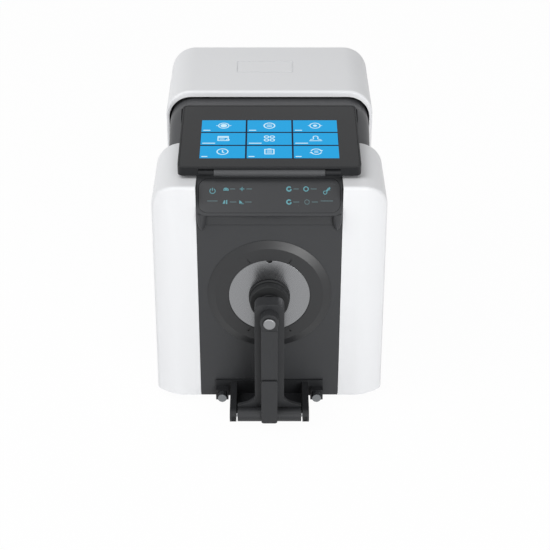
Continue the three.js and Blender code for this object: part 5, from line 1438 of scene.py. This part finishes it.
def add_lamp(name, power, size, place, target):
    """A soft square lamp aimed at a point."""
    data = bpy.data.lights.new(name, "AREA")
    data.energy, data.size = power, size
    lamp = bpy.data.objects.new(name, data)
    lamp.location = place
    lamp.rotation_euler = (target - place).to_track_quat("-Z", "Y").to_euler()
    bpy.context.scene.collection.objects.link(lamp)


# In metres: the floor's half-width, the camera's range of sight, and each lamp's width and place
FLOOR_HALF = 6
NEAREST, FARTHEST = 0.05, 50.0
LAMPS = {
    "key": (1.1, (0.95, -2.0, 0.62)),
    "top": (1.2, (-1.0, -0.7, 2.0)),
    "fill": (1.2, (-2.3, -0.5, 1.4)),
}
# The point that the lamps are aimed at, as a place on the front panel in millimetres
LIT_POINT = (0, 60, 150)
# The width in millimetres that the focal length is given for
SENSOR_WIDTH = 36.0


class INSTRUMENT_OT_stage(bpy.types.Operator):
    """Set the floor, the room, the lamps and the camera"""

    bl_idname = "instrument.stage"
    bl_label = "Stage and camera"

    def execute(self, context):
        scene, sizes = context.scene, context.scene.instrument_stage
        scene.view_settings.view_transform = "Standard"
        half = FLOOR_HALF
        corners = [(-half, -half, 0), (half, -half, 0), (half, half, 0), (-half, half, 0)]
        floor = bpy.data.objects.new("paper_floor", mesh_from("floor", corners, [(0, 1, 2, 3)]))
        floor.data.materials.append(paper_floor())
        scene.collection.objects.link(floor)
        make_world(sizes.sky)
        for name, (size, place) in LAMPS.items():
            add_lamp(name, getattr(sizes, name), size, Vector(place), at(*LIT_POINT))
        camera = bpy.data.objects.new("camera", bpy.data.cameras.new("camera"))
        camera.data.sensor_width, camera.data.lens = SENSOR_WIDTH, sizes.lens
        camera.data.shift_x = sizes.shift
        camera.data.clip_start, camera.data.clip_end = NEAREST, FARTHEST
        camera.location = at(0, -sizes.distance, sizes.height)
        camera.rotation_euler = (math.radians(90 - sizes.pitch), 0, 0)
        scene.collection.objects.link(camera)
        scene.camera = camera
        return {"FINISHED"}


class INSTRUMENT_PT_panel(bpy.types.Panel):
    """Lists the instrument's pieces and sizes"""

    bl_idname = "INSTRUMENT_PT_panel"
    bl_label = "Benchtop spectrophotometer"
    bl_space_type = "VIEW_3D"
    bl_region_type = "UI"
    bl_category = "Instrument"

    def draw(self, context):
        for group_name, kind in GROUPS.items():
            for name in kind.__annotations__:
                self.layout.prop(getattr(context.scene, group_name), name)
        for operator in OPERATORS:
            self.layout.operator(operator.bl_idname)


OPERATORS = (
    INSTRUMENT_OT_stage,
    INSTRUMENT_OT_front_case,
    INSTRUMENT_OT_hood,
    INSTRUMENT_OT_inner_housing,
    INSTRUMENT_OT_front_panel,
    INSTRUMENT_OT_port,
    INSTRUMENT_OT_clamp,
    INSTRUMENT_OT_display,
    INSTRUMENT_OT_rear,
    INSTRUMENT_OT_base,
    INSTRUMENT_OT_inside,
)
GROUPS = {
    "instrument_case": CaseSizes,
    "instrument_picture": PictureSizes,
    "instrument_look": Look,
    "instrument_stage": StageSizes,
}
CLASSES = (*GROUPS.values(), *OPERATORS, INSTRUMENT_PT_panel)


def register():
    """Registers the classes and gives the scene its groups of sizes."""
    for kind in CLASSES:
        bpy.utils.register_class(kind)
    for name, group in GROUPS.items():
        setattr(bpy.types.Scene, name, PointerProperty(type=group))


def unregister():
    """Takes the groups and the classes away again."""
    for name in GROUPS:
        delattr(bpy.types.Scene, name)
    for kind in reversed(CLASSES):
        bpy.utils.unregister_class(kind)


def main():
    """Builds the whole instrument."""
    register()
    make_finishes(bpy.context.scene.instrument_look)
    for operator in OPERATORS:
        group, name = operator.bl_idname.split(".")
        getattr(getattr(bpy.ops, group), name)()


if __name__ == "__main__":
    main()
